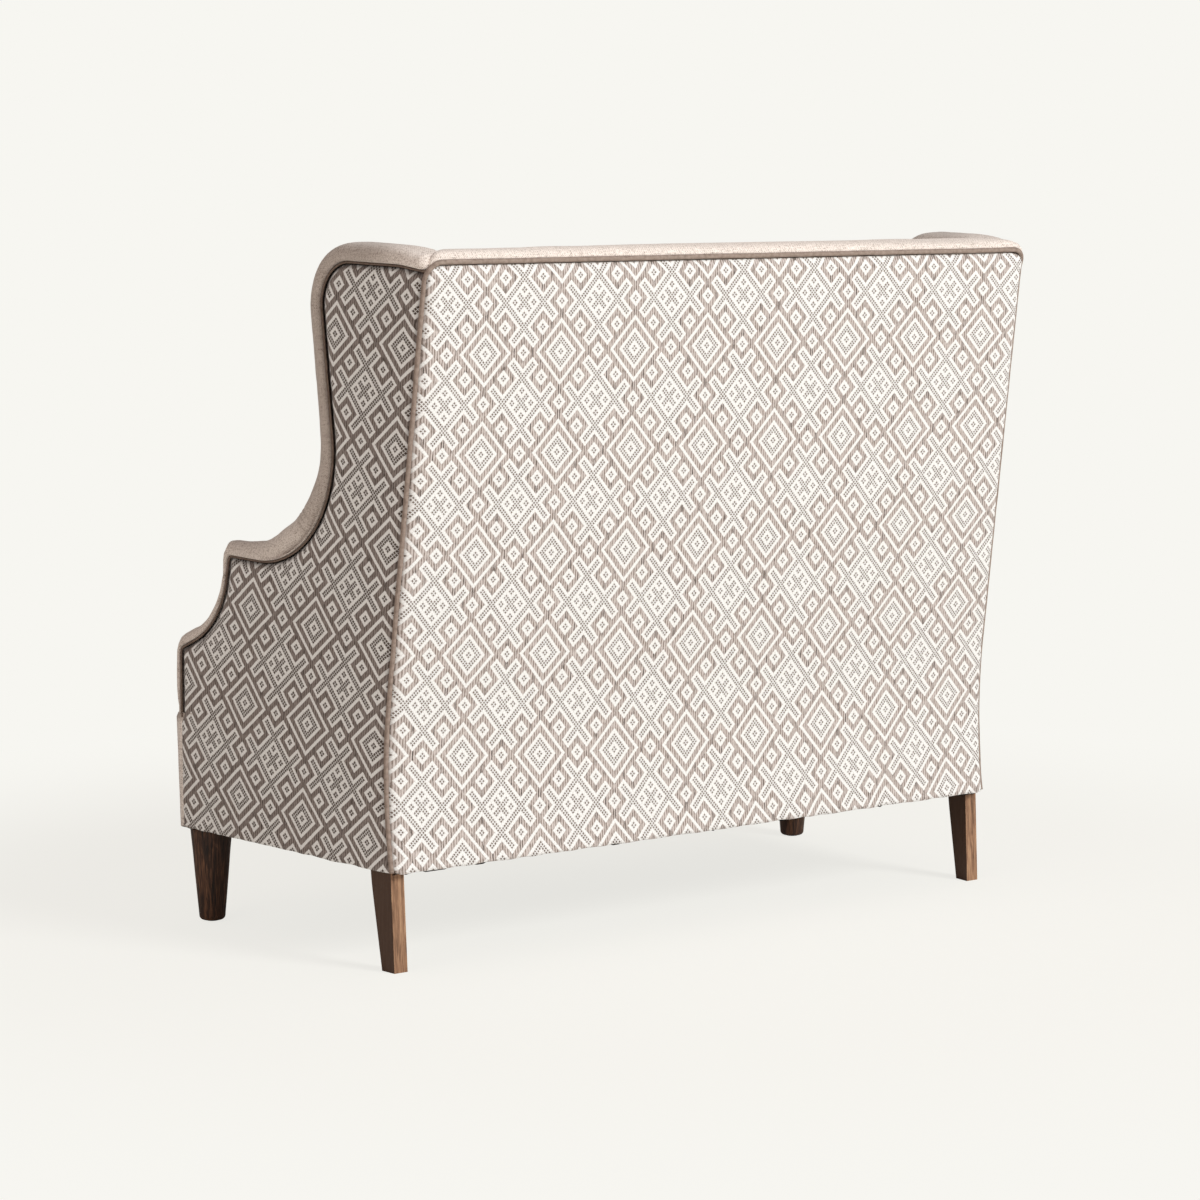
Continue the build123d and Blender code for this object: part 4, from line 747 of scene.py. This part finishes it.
def makeArmRoll(hand, name):
    cfg = armRoll
    line, run = weltLine(rearTop - cfg["rearGap"] - cfg["endRound"], settee["borderTop"], cfg["step"])
    normal = lineNormals(line)
    tipRun, scoopRun = (run[np.argmin(np.linalg.norm(line - armOutline[spot], axis=1))]
                        for spot in ("armTip", "scoop"))
    width = rollWidth(line, normal, run, scoopRun, tipRun)
    proud = cfg["proud"] + (cfg["frontProud"] - cfg["proud"]) * smooth(run, tipRun - 10, tipRun + 30)
    tilt = cfg["armTilt"] * smooth(run, scoopRun - 70, scoopRun + 40)
    sections = [rollSection(w, p, t) for w, p, t in zip(width, proud, tilt)]
    # rounded end at the back: the first section drawn in, a few steps further back
    angles = np.linspace(math.pi / 2, 0, 8)[:-1]
    first, middle = sections[0], len(sections[0]) // 2
    way = np.gradient(first, axis=0)
    inward = np.stack([-way[:, 1], way[:, 0]], 1) / np.linalg.norm(way, axis=1)[:, None]
    inward *= np.sign((np.array([8.0, -33.0]) - first)[middle] @ inward[middle])
    inward[:4] = [0, -1]
    rearward = (line[0] - line[1]) / np.linalg.norm(line[0] - line[1])
    sections = np.array([first + inward * cfg["endRound"] * (1 - math.cos(a)) for a in angles] + sections)
    line = np.concatenate([[line[0] + rearward * cfg["endRound"] * math.sin(a) for a in angles], line])
    normal = np.concatenate([np.repeat(normal[:1], len(angles), 0), normal])
    run = np.concatenate([-cfg["endRound"] * angles, run])
    rows = np.concatenate([line[:, None] + normal[:, None] * sections[..., :1], sections[..., 1:]], -1)
    count = rows.shape[1]
    # the back end leans with the back
    rows[..., 0] += math.tan(lean) * sections[..., 0] * (1 - smooth(run, 0, 60))[:, None]
    cloth = np.stack([np.repeat(run[:, None], count, 1), [runAlong(section) for section in sections]], -1)
    # soft lumps, gathers at the back end, pleats in the scoop, a seam below the arm's tip
    lump = lumpy(rows + [0, 0, 200 * hand], cfg["lumps"]).reshape(rows.shape[:2])
    turn, along = np.linspace(0, 1, count), run[:, None]
    bell = np.sin(math.pi * turn) ** 0.7
    gather = cfg["gather"] * np.sin(along / cfg["gatherPitch"] * math.pi + 3 * turn) * fade(along - 12, 30)
    seamDip = fade(along - tipRun - cfg["seamAt"], cfg["seamWidth"]) * np.ones(count)
    pleat = sum(fade(along - scoopRun - p - 14 * turn, cfg["pleatWidth"]) for p in cfg["pleats"])
    pleat = pleat * fade(turn - 0.22, 0.2)
    outward = (lump + gather) * bell - cfg["seamDip"] * seamDip * bell - cfg["pleatDip"] * pleat
    rows[..., :2] += normal[:, None] * outward[..., None]
    rows[..., 2] += (0.6 * lump - 1.0 * pleat) * bell
    # painted shade in the seam's dip, in the pleats' creases and beside the welt
    seam = np.clip(0.55 * seamDip + 0.35 * pleat, 0, 0.7)
    seam[:, 0] = cfg["weltSeamShade"]
    # painted shade: the roll is drawn darker over the wing, less along the arm and at its back end, and not on its
    # inner face
    past = smooth(along, scoopRun - 60, scoopRun + 60)
    shade = cfg["shade"] * smooth(along, 0, 130) * (1 - cfg["scoopShade"] * past) * (1 - smooth(turn, 0.6, 1.0))
    # inside panel: from the roll's inner edge down behind the seat and the back
    loop = rows[len(angles):, -1, :2]
    rearLow = np.array([float(backY(settee["borderTop"])) - armPanel["rearInset"], settee["borderTop"]])
    edge = np.concatenate([loop, np.linspace(loop[-1], rearLow, 40)[1:], np.linspace(rearLow, loop[0], 40)[1:-1]])
    flat, netFaces = fillOutline(edge, armPanel["net"])
    away = edgeDistance(flat, loop)
    q = -settee["wall"] - armPanel["crown"] * (1 - np.exp(-away / 70)) * smooth(away, 0, 40)
    spots = np.stack([flat[:, 0], flat[:, 1], np.full(len(flat), 300.0 * hand)], 1)
    q += lumpy(spots, armPanel["lumps"]) * smooth(away, 6, 50)
    start, none = rows.shape[0] * count, np.zeros(len(flat))
    faces = gridFaces(len(rows), count) + [tuple(range(count))] + [tuple(start + k for k in f) for f in netFaces]
    points = [sidePoint(rows[..., 0], rows[..., 1], rows[..., 2]).reshape(-1, 3), sidePoint(flat[:, 0], flat[:, 1], q)]
    cloths = np.concatenate([cloth.reshape(-1, 2), flat + [armPanel["clothShift"], 0]])
    seams, paintedShades = (np.concatenate([values.reshape(-1), none]) for values in (seam, shade))
    piece = addPiece(name, np.concatenate(points), faces, cloths, seams, hand=hand, shade=paintedShades)
    faceOut(piece, Vector((hand * 0.1, 0, 1)), join=0.4)
    return piece


for hand, sideName in bothSides:
    piece = makeArmRoll(hand, "armWingLinen." + sideName)
    dress(piece, linenCloth, ["arm_wing_cover_" + sideName, "arm_wing_foam_" + sideName])
print("arm and wing rolls made")


def fanPoint(share, y, z):
    # place on a pad between the sides, fanned with the flare
    half = settee["halfWidth"] - (settee["wall"] + 0.3) / cosF
    return np.stack([half * share - y * np.tan(flare * share), settee["waistY"] + y, z], -1)


padHalf = 530  # about half the width of a pad


def padGrid(cfg, outline, tuck, widen):
    # crowned pad from its side outlines; tuck and widen give how far it draws in and reaches out at the sides
    shares, step = crowded(cfg["columns"], 0.9), cfg["step"]
    rows = len(outline(0.0, step)[0])
    points, cloth = np.zeros((rows, len(shares), 3)), np.zeros((rows, len(shares), 2))
    for c, share in enumerate(shares):
        line, _ = outline(1 - share ** 2, step)
        line = resample(line, np.linspace(0, 1, len(line)), np.linspace(0, 1, rows))
        points[:, c] = fanPoint(share, line[:, 0], line[:, 1])
        points[:, c, 0] += math.copysign(float(smooth(abs(share), 0.88, 1.0)), share) * widen(line[:, 0], line[:, 1])
        cloth[:, c] = np.stack([points[:, c, 0], runAlong(line)], 1)
    normals = np.cross(np.gradient(points, axis=1), np.gradient(points, axis=0))
    normals /= np.linalg.norm(normals, axis=2)[..., None] + 1e-9
    if normals[rows // 2, len(shares) // 2] @ [0, -1, 1] < 0:
        normals = -normals
    side = (1 - np.abs(shares)) * padHalf
    lump = lumpy(points, cfg["lumps"]).reshape(points.shape[:2])
    points += normals * (lump * smooth(side, 5, 60) - tuck(points[..., 2]) * fade(side, 9.0))[..., None]
    return points, cloth


def billow(piece, rows, columns, pressure, cap, frames=20):
    # padded cloth: pinned round its edge and pushed out by pressure; the movement is capped and kept
    mesh = piece.data
    start = np.array([v.co for v in mesh.vertices])
    row, column = np.divmod(np.arange(len(start)), columns)
    atEdge = (row < 2) | (row > rows - 3) | (column < 2) | (column > columns - 3)
    pins = piece.vertex_groups.new(name="pins")
    pins.add([int(k) for k in np.flatnonzero(atEdge)], 1.0, "REPLACE")
    outward = sum(p.normal.dot(Vector((0, -1, 1))) for p in mesh.polygons)
    cloth = piece.modifiers.new("billow", "CLOTH")
    cloth.settings.quality = 6
    cloth.settings.mass = 0.35
    cloth.settings.tension_stiffness = cloth.settings.compression_stiffness = 18
    cloth.settings.shear_stiffness, cloth.settings.bending_stiffness = 8, 4
    cloth.settings.use_pressure = True
    cloth.settings.uniform_pressure_force = math.copysign(pressure, outward)
    cloth.settings.vertex_group_mass = "pins"
    cloth.settings.effector_weights.gravity = 0
    cloth.collision_settings.use_collision = False
    cloth.point_cache.frame_start, cloth.point_cache.frame_end = 1, frames
    for number in range(1, frames + 1):
        bpy.context.scene.frame_set(number)
    shaped = piece.evaluated_get(bpy.context.evaluated_depsgraph_get())
    move = np.array([v.co for v in shaped.data.vertices]) - start
    far = np.linalg.norm(move, axis=1)[:, None] + 1e-9
    piece.modifiers.remove(cloth)
    piece.vertex_groups.remove(pins)
    mesh.vertices.foreach_set("co", (start + move / far * cap * mm * np.tanh(far / (cap * mm))).ravel())
    mesh.update()
    bpy.context.scene.frame_set(1)
    print(piece.name, "billowed by up to", round(float(far.max()) / mm, 1), "mm before the cap")


def addPad(name, points, cloth, cfg, replaced):
    rows, columns = points.shape[:2]
    piece = addPiece(name, points, gridFaces(rows, columns), cloth)
    billow(piece, rows, columns, cfg["pressure"], cfg["cap"])
    dress(piece, linenCloth, replaced, 2.0)


insideBack = dict(
    columns=110, step=9.0, tuck=14.0, topTuck=2.5, tuckZone=(1010, 1075), top=80.0, waist=98.0,
    lumps=((1.6, 120, 11), (0.56, 35, 12)), crown=16.0, belly=720.0, base=1079.0, rise=1094.8,
    foot=(-112.0, 452.0), low=405.0, inset=3.0, rounds=(15.0, 36.0, 600.0, 0.0), borderZ=1060.0, endReach=73.5,
    reachZone=(14, 50), endRound=20.0, endZone=(20, 62), pressure=4.0, cap=6.0
)


def insideBackOutline(full, step):
    cfg = insideBack
    crown, inset = cfg["crown"] * full, cfg["inset"]
    places = [(cfg["base"], inset), (cfg["rise"], inset), (cfg["rise"], cfg["top"] + crown),
              (cfg["belly"], cfg["waist"] + crown)]
    points = [[float(backY(z, depth)), z] for z, depth in places] + [cfg["foot"], (cfg["foot"][0], cfg["low"])]
    points[2][1] += 3
    return roundedLine(points, cfg["rounds"], step)


def backTuck(z):
    least = insideBack["topTuck"]
    return least + (insideBack["tuck"] - least) * (1 - smooth(z, *insideBack["tuckZone"]))


def backWiden(y, z):
    # follows the rounding of the wings, so that the border meets them, and runs out to the corners at the rear
    inner = armRoll["innerRound"]
    share = np.clip((z - (insideBack["rise"] - inner)) / inner, 0, 1)
    meet = inner * roundOff(share) * 0.8 + 2.0 * smooth(share, 0, 0.3)
    atRear = (1 - smooth(backY(z) - y, *insideBack["reachZone"])) * (z > insideBack["borderZ"])
    return np.maximum(meet, insideBack["endReach"] * atRear)


points, cloth = padGrid(insideBack, insideBackOutline, backTuck, backWiden)
# its ends round down to the welt
edge = np.abs(points[:, -1:, 0]) - np.abs(points[..., 0])
forward = settee["waistY"] + backY(points[..., 2]) - points[..., 1]
atRear = (1 - smooth(forward, *insideBack["endZone"])) * (points[..., 2] > insideBack["borderZ"])
rounded = roundOff(np.clip(1 - edge / insideBack["endRound"], 0, 1))
points[..., 2] -= rounded * atRear * np.maximum(points[..., 2] - insideBack["base"] + 8, 0)
addPad("insideBackLinen", points, cloth, insideBack, ["inside_back_cover", "inside_back_foam"])

seat = dict(
    columns=110, step=9.0, tuck=8.0, reach=7.0, pressure=4.0, cap=6.0, lumps=((1.8, 120, 14), (0.63, 35, 15)),
    crown=14.0, nose=452.0, rounds=(40.0, 800.0), belly=462.0, bellyReach=-330.0, rear=(-112.3, 444.0)
)


def seatOutline(full, step):
    front, middle = -settee["seatRun"], (seat["bellyReach"], seat["belly"] + seat["crown"] * full)
    points = [(front, settee["borderTop"] - 2), (front, seat["nose"]), middle, seat["rear"]]
    return roundedLine(points, seat["rounds"], step)


points, cloth = padGrid(seat, seatOutline, lambda z: seat["tuck"], lambda y, z: seat["reach"])
addPad("seatLinen", points, cloth, seat, ["seat_cover", "seat_foam"])

frontBorder = dict(
    columns=150, rows=26, lean=7.8, crown=2.5, crownEnd=30.0, lumps=((0.7, 60, 17),), hemWave=((1.2, 30, 18),),
    cornerRound=2.5, cornerWidth=8.0, inset=1.5, topTuck=6.0, ledge=36.0, returned=26.0, returnInset=2.8,
    seam=0.5
)


def makeFrontBorder():
    cfg = frontBorder
    across = np.linspace(-1, 1, cfg["columns"])
    top, deep = settee["borderTop"], settee["borderTop"] - settee["hem"]
    points = []
    for level in np.linspace(top, settee["hem"], cfg["rows"]):
        down = (top - level) / deep
        y = cfg["lean"] * down - settee["seatRun"]
        half = sideX(y, -cfg["inset"])
        x = half * across
        edge = np.minimum(half - np.abs(x), 300)
        puff = cfg["crown"] * math.sin(math.pi * np.clip(down, 0.02, 0.98)) ** 0.5
        puff = puff * (1 - np.exp(-edge / cfg["crownEnd"]))
        back = cfg["cornerRound"] * fade(edge, cfg["cornerWidth"])
        points.append(np.stack([x, settee["waistY"] + y - puff + back, np.full_like(x, level)], 1))
    points = np.array(points)
    flat = points.reshape(-1, 3)
    flat[:, 1] += lumpy(flat, cfg["lumps"])
    points[0] += [0, cfg["topTuck"], 1.0]
    points[-1, :, 2] += lumpy(points[-1] * [1, 0, 0], cfg["hemWave"])
    # its ends turn the corner under the side covers, its top edge turns in under the arms and the seat
    ends = points[:, [0, -1]] + [0, cfg["returned"], 0]
    ends[..., 0] = [-1, 1] * sideX(ends[..., 1] - settee["waistY"], -cfg["returnInset"])
    points = np.concatenate([ends[:, :1], points, ends[:, 1:]], 1)
    ledge = points[:1] + [0, cfg["ledge"], 0.5]
    points = np.concatenate([ledge, points, hemRows(points[-1], (0, 1, 0), 1.0)])
    cloth = points[..., [0, 2]]
    cloth[0, :, 1] += cfg["ledge"]
    cloth[:, [0, -1], 0] += [-cfg["returned"], cfg["returned"]]
    # painted shade on the top fold, where the border turns in under the arms and the seat
    seam = np.zeros(points.shape[:2])
    seam[1:3] = cfg["seam"]
    return addPiece("frontBorderLinen", points, gridFaces(*points.shape[:2]), cloth, seam)


piece = dress(makeFrontBorder(), linenCloth, ["front_border"], 2.0)
print("linen pads made")


def sweepTube(path, cfg, seed):
    path, radius = np.asarray(path, float), cfg["radius"]
    way = np.gradient(path, axis=0)
    way /= np.linalg.norm(way, axis=1)[:, None]
    up = np.zeros_like(path)
    first = np.cross(way[0], [0.3, 0.2, 1.0])
    up[0] = first / np.linalg.norm(first)
    for k in range(1, len(path)):
        v = up[k - 1] - way[k] * (up[k - 1] @ way[k])
        up[k] = v / np.linalg.norm(v)
    other = np.cross(way, up)
    size = radius * (1 + 0.05 * ripple(path, 22, seed))
    angle = np.linspace(0, 2 * math.pi, cfg["sides"], endpoint=False)
    ring = np.cos(angle)[None, :, None] * up[:, None] + np.sin(angle)[None, :, None] * other[:, None]
    cloth = np.stack(np.broadcast_arrays(runAlong(path)[:, None], angle[None] * radius), -1)
    return path[:, None] + size[:, None, None] * ring, tubeFaces(len(path), len(angle)), cloth


backWelt = dict(
    radius=4.0, sides=14, sink=2.0, sideSink=11.0, sinkRun=26.0, sideInset=2.0, step=4.0, wander=0.5
)


def backWeltPath():
    cfg, corner, mirrored = backWelt, settee["cornerRound"], [-1, 1, 1]
    z = np.linspace(settee["hem"] + 1, settee["backTop"], 240)
    deep = cfg["sink"] + (cfg["sideSink"] - cfg["sink"]) * smooth(settee["backTop"] - z, 0, cfg["sinkRun"])
    y = backY(z) - deep
    side = np.stack([sideX(y, -cfg["sideInset"]), settee["waistY"] + y, z], 1)
    side = side[(z < settee["backTop"] - corner - 1) | (z == z[-1])]
    low, high = side[-2:]
    line, _ = roundedLine([low, high, high * mirrored, low * mirrored], [corner - 1, corner - 1], cfg["step"], 2.0)
    path = np.concatenate([side[:-2], line, (side[:-2] * mirrored)[::-1]])
    length = runAlong(path)
    path = resample(path, length, np.arange(0, length[-1], cfg["step"]))
    for k in range(3):
        path[:, k] += cfg["wander"] * ripple(path, 45, 20 + k)
    return path


dress(addPiece("backWelt", *sweepTube(backWeltPath(), backWelt, 23)), pipingCloth, ["back_welt"])

sideWelt = dict(radius=1.7, sides=12, sink=1.4, rearGap=10.0, footDrop=6.0, step=4.0, wander=0.5)
line, _ = weltLine(rearTop - sideWelt["rearGap"], settee["borderTop"] - sideWelt["footDrop"], sideWelt["step"])
for hand, sideName in bothSides:
    path = sidePoint(line[:, 0], line[:, 1], -sideWelt["sink"])
    for k in range(3):
        path[:, k] += sideWelt["wander"] * ripple(path + 400 * (hand < 0), 40, 26 + k)
    piece = addPiece("sideWelt." + sideName, *sweepTube(path, sideWelt, 29), hand=hand)
    dress(piece, shadedPiping, ["side_welt_" + sideName])
print("welts made")

# black cloth under the frame; its tacked edge droops in places along the rear
dustCover = dict(net=12.0, level=154.0, droop=4.5, droopWidth=12.0, droopFrom=120.0, inset=9.0)
low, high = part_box("dust_cover")
corners = [(sideX(y / mm - settee["waistY"], -dustCover["inset"]) * hand, y / mm)
           for hand, y in ((1, low[1]), (1, high[1]), (-1, high[1]), (-1, low[1]))]
edge, _ = roundedLine(corners + corners[:1], [0, 0, 0], dustCover["net"])
flat, faces = fillOutline(edge[:-1], dustCover["net"])
points = np.column_stack([flat, np.zeros(len(flat))])
droop = smooth(ripple(points, 22, 31), 0.1, 0.4) * fade(edgeDistance(flat, edge), dustCover["droopWidth"])
points[:, 2] = dustCover["level"] - dustCover["droop"] * droop * (flat[:, 1] > dustCover["droopFrom"])
piece = addPiece("dustCover", points, faces, flat)
faceOut(piece, Vector((0, 0, -1)))
dress(piece, dustCloth, ["dust_cover"], 0.8)

# turned front legs, round at the toe
frontLeg = dict(foot=20.5, toe=1.5, toeRound=6.0, toeRows=6, rows=24, rowsFrom=20.0, sides=56, wobble=0.25)
for sideName in ("left", "right"):
    low, high = (np.array(corner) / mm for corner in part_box("front_leg_" + sideName))
    middle, topRadius = (low + high) / 2, (high[0] - low[0]) / 2
    bend = np.linspace(0, math.pi / 2, frontLeg["toeRows"])
    z = np.r_[frontLeg["toe"] + frontLeg["toeRound"] * (1 - np.cos(bend)),
              np.linspace(frontLeg["rowsFrom"], high[2], frontLeg["rows"])]
    radius = frontLeg["foot"] + (topRadius - frontLeg["foot"]) * z / high[2]
    radius += frontLeg["wobble"] * ripple(np.stack([z, z * 0, z * 0], 1), 30, 33)
    radius[:len(bend)] -= frontLeg["toeRound"] * (1 - np.sin(bend))
    angle = np.linspace(0, 2 * math.pi, frontLeg["sides"], endpoint=False)
    ring = np.stack([np.cos(angle), np.sin(angle)], -1)
    level = np.repeat(z[:, None, None], len(angle), 1)
    points = np.concatenate([middle[:2] + radius[:, None, None] * ring, level], -1)
    piece = addPiece("frontLeg." + sideName, points, tubeFaces(len(z), len(angle)))
    faceOut(piece, Vector((0, 0, 1)))
    dress(piece, shadedLegWood, ["front_leg_" + sideName])

# the rear legs keep their CAD shape, with eased edges
easedEdge = dict(joined=0.02, width=1.8, segments=3, angle=35.0)
for sideName in ("left", "right"):
    leg = nodes["rear_stile_" + sideName]
    weld = leg.modifiers.new("joined", "WELD")
    weld.merge_threshold = easedEdge["joined"] * mm
    ease = leg.modifiers.new("eased edges", "BEVEL")
    ease.width, ease.segments = easedEdge["width"] * mm, easedEdge["segments"]
    ease.limit_method, ease.angle_limit = "ANGLE", math.radians(easedEdge["angle"])
print("legs and dust cover made")

# floor, light and camera
stage = dict(
    backdrop="#f7f6f1", floor="#f1efe9", floorSize=30.0, shadowShare=0.17, near=0.9, far=2.0, aim=(0, 0, 0.55),
    sky=0.38, skyColour=(1.0, 0.885, 0.825, 1.0)
)
lamps = {
    "keyLight": dict(place=(-3.4, 10.4, 7.0), size=4.4, power=1400.0, colour=(0.985, 1.0, 1.0)),
    "fillLight": dict(place=(5.5, 1.5, 3.0), size=4.0, power=60.0, colour=(1.0, 0.9, 0.84)),
}
view = dict(lens=109.7, sensor=36.0, place=(3.6425, 4.7456, 1.2369), yaw=-127.20, pitch=-6.97)


def addHolder(name, data, place, way):
    # lamp or camera at a place, looking along a direction
    holder = bpy.data.objects.new(name, data)
    holder.location = place
    holder.rotation_mode = "QUATERNION"
    holder.rotation_quaternion = Vector(way).to_track_quat("-Z", "Y")
    bpy.context.scene.collection.objects.link(holder)
    return holder


def makeStage():
    mesh = bpy.data.meshes.new("studioFloor")
    size = stage["floorSize"]
    mesh.from_pydata([(-size, -size, 0), (size, -size, 0), (size, size, 0), (-size, size, 0)], [], [(0, 1, 2, 3)])
    floor = bpy.data.objects.new("studioFloor", mesh)
    bpy.context.scene.collection.objects.link(floor)
    # matt painted floor that fades into the backdrop; to the camera its shadows are thinned
    material, add, shader = newMaterial("paintedFloor")
    setSockets(shader, {"Base Color": linear(stage["floor"]), "Roughness": 0.95, "Specular IOR Level": 0.0})
    away = add("VectorMath LENGTH", [add("NewGeometry").outputs["Position"]])
    thin = [away, stage["near"], stage["far"], 1.0 - stage["shadowShare"], 1.0]
    share = add("MapRange", thin, interpolation_type="SMOOTHSTEP")
    seen = add("Math MULTIPLY", [share, add("LightPath").outputs["Is Camera Ray"]])
    glow = add("Emission", {"Color": linear(stage["backdrop"]), "Strength": 1.0})
    setSockets(material.node_tree.nodes["Material Output"], [add("MixShader", [seen, shader, glow])])
    mesh.materials.append(material)
    world = bpy.data.worlds.new("studio")
    bpy.context.scene.world = world
    world.use_nodes = True
    add = partial(addNode, world.node_tree)
    sky = add("Background", {"Color": stage["skyColour"], "Strength": stage["sky"]})
    plainBack = add("Background", {"Color": linear(stage["backdrop"]), "Strength": 1.0})
    mix = add("MixShader", [add("LightPath").outputs["Is Camera Ray"], sky, plainBack])
    setSockets(world.node_tree.nodes["World Output"], [mix])
    for name, cfg in lamps.items():
        lamp = bpy.data.lights.new(name, "AREA")
        lamp.shape, lamp.size, lamp.energy, lamp.color = "DISK", cfg["size"], cfg["power"], cfg["colour"]
        addHolder(name, lamp, cfg["place"], Vector(stage["aim"]) - Vector(cfg["place"]))


makeStage()
camera = bpy.data.cameras.new("photoCamera")
camera.lens, camera.sensor_width = view["lens"], view["sensor"]
yaw, pitch = math.radians(view["yaw"]), math.radians(view["pitch"])
look = (math.cos(yaw) * math.cos(pitch), math.sin(yaw) * math.cos(pitch), math.sin(pitch))
bpy.context.scene.camera = addHolder("photoCamera", camera, view["place"], look)
bpy.context.scene.view_settings.view_transform = "Standard"
print("stage and camera made")
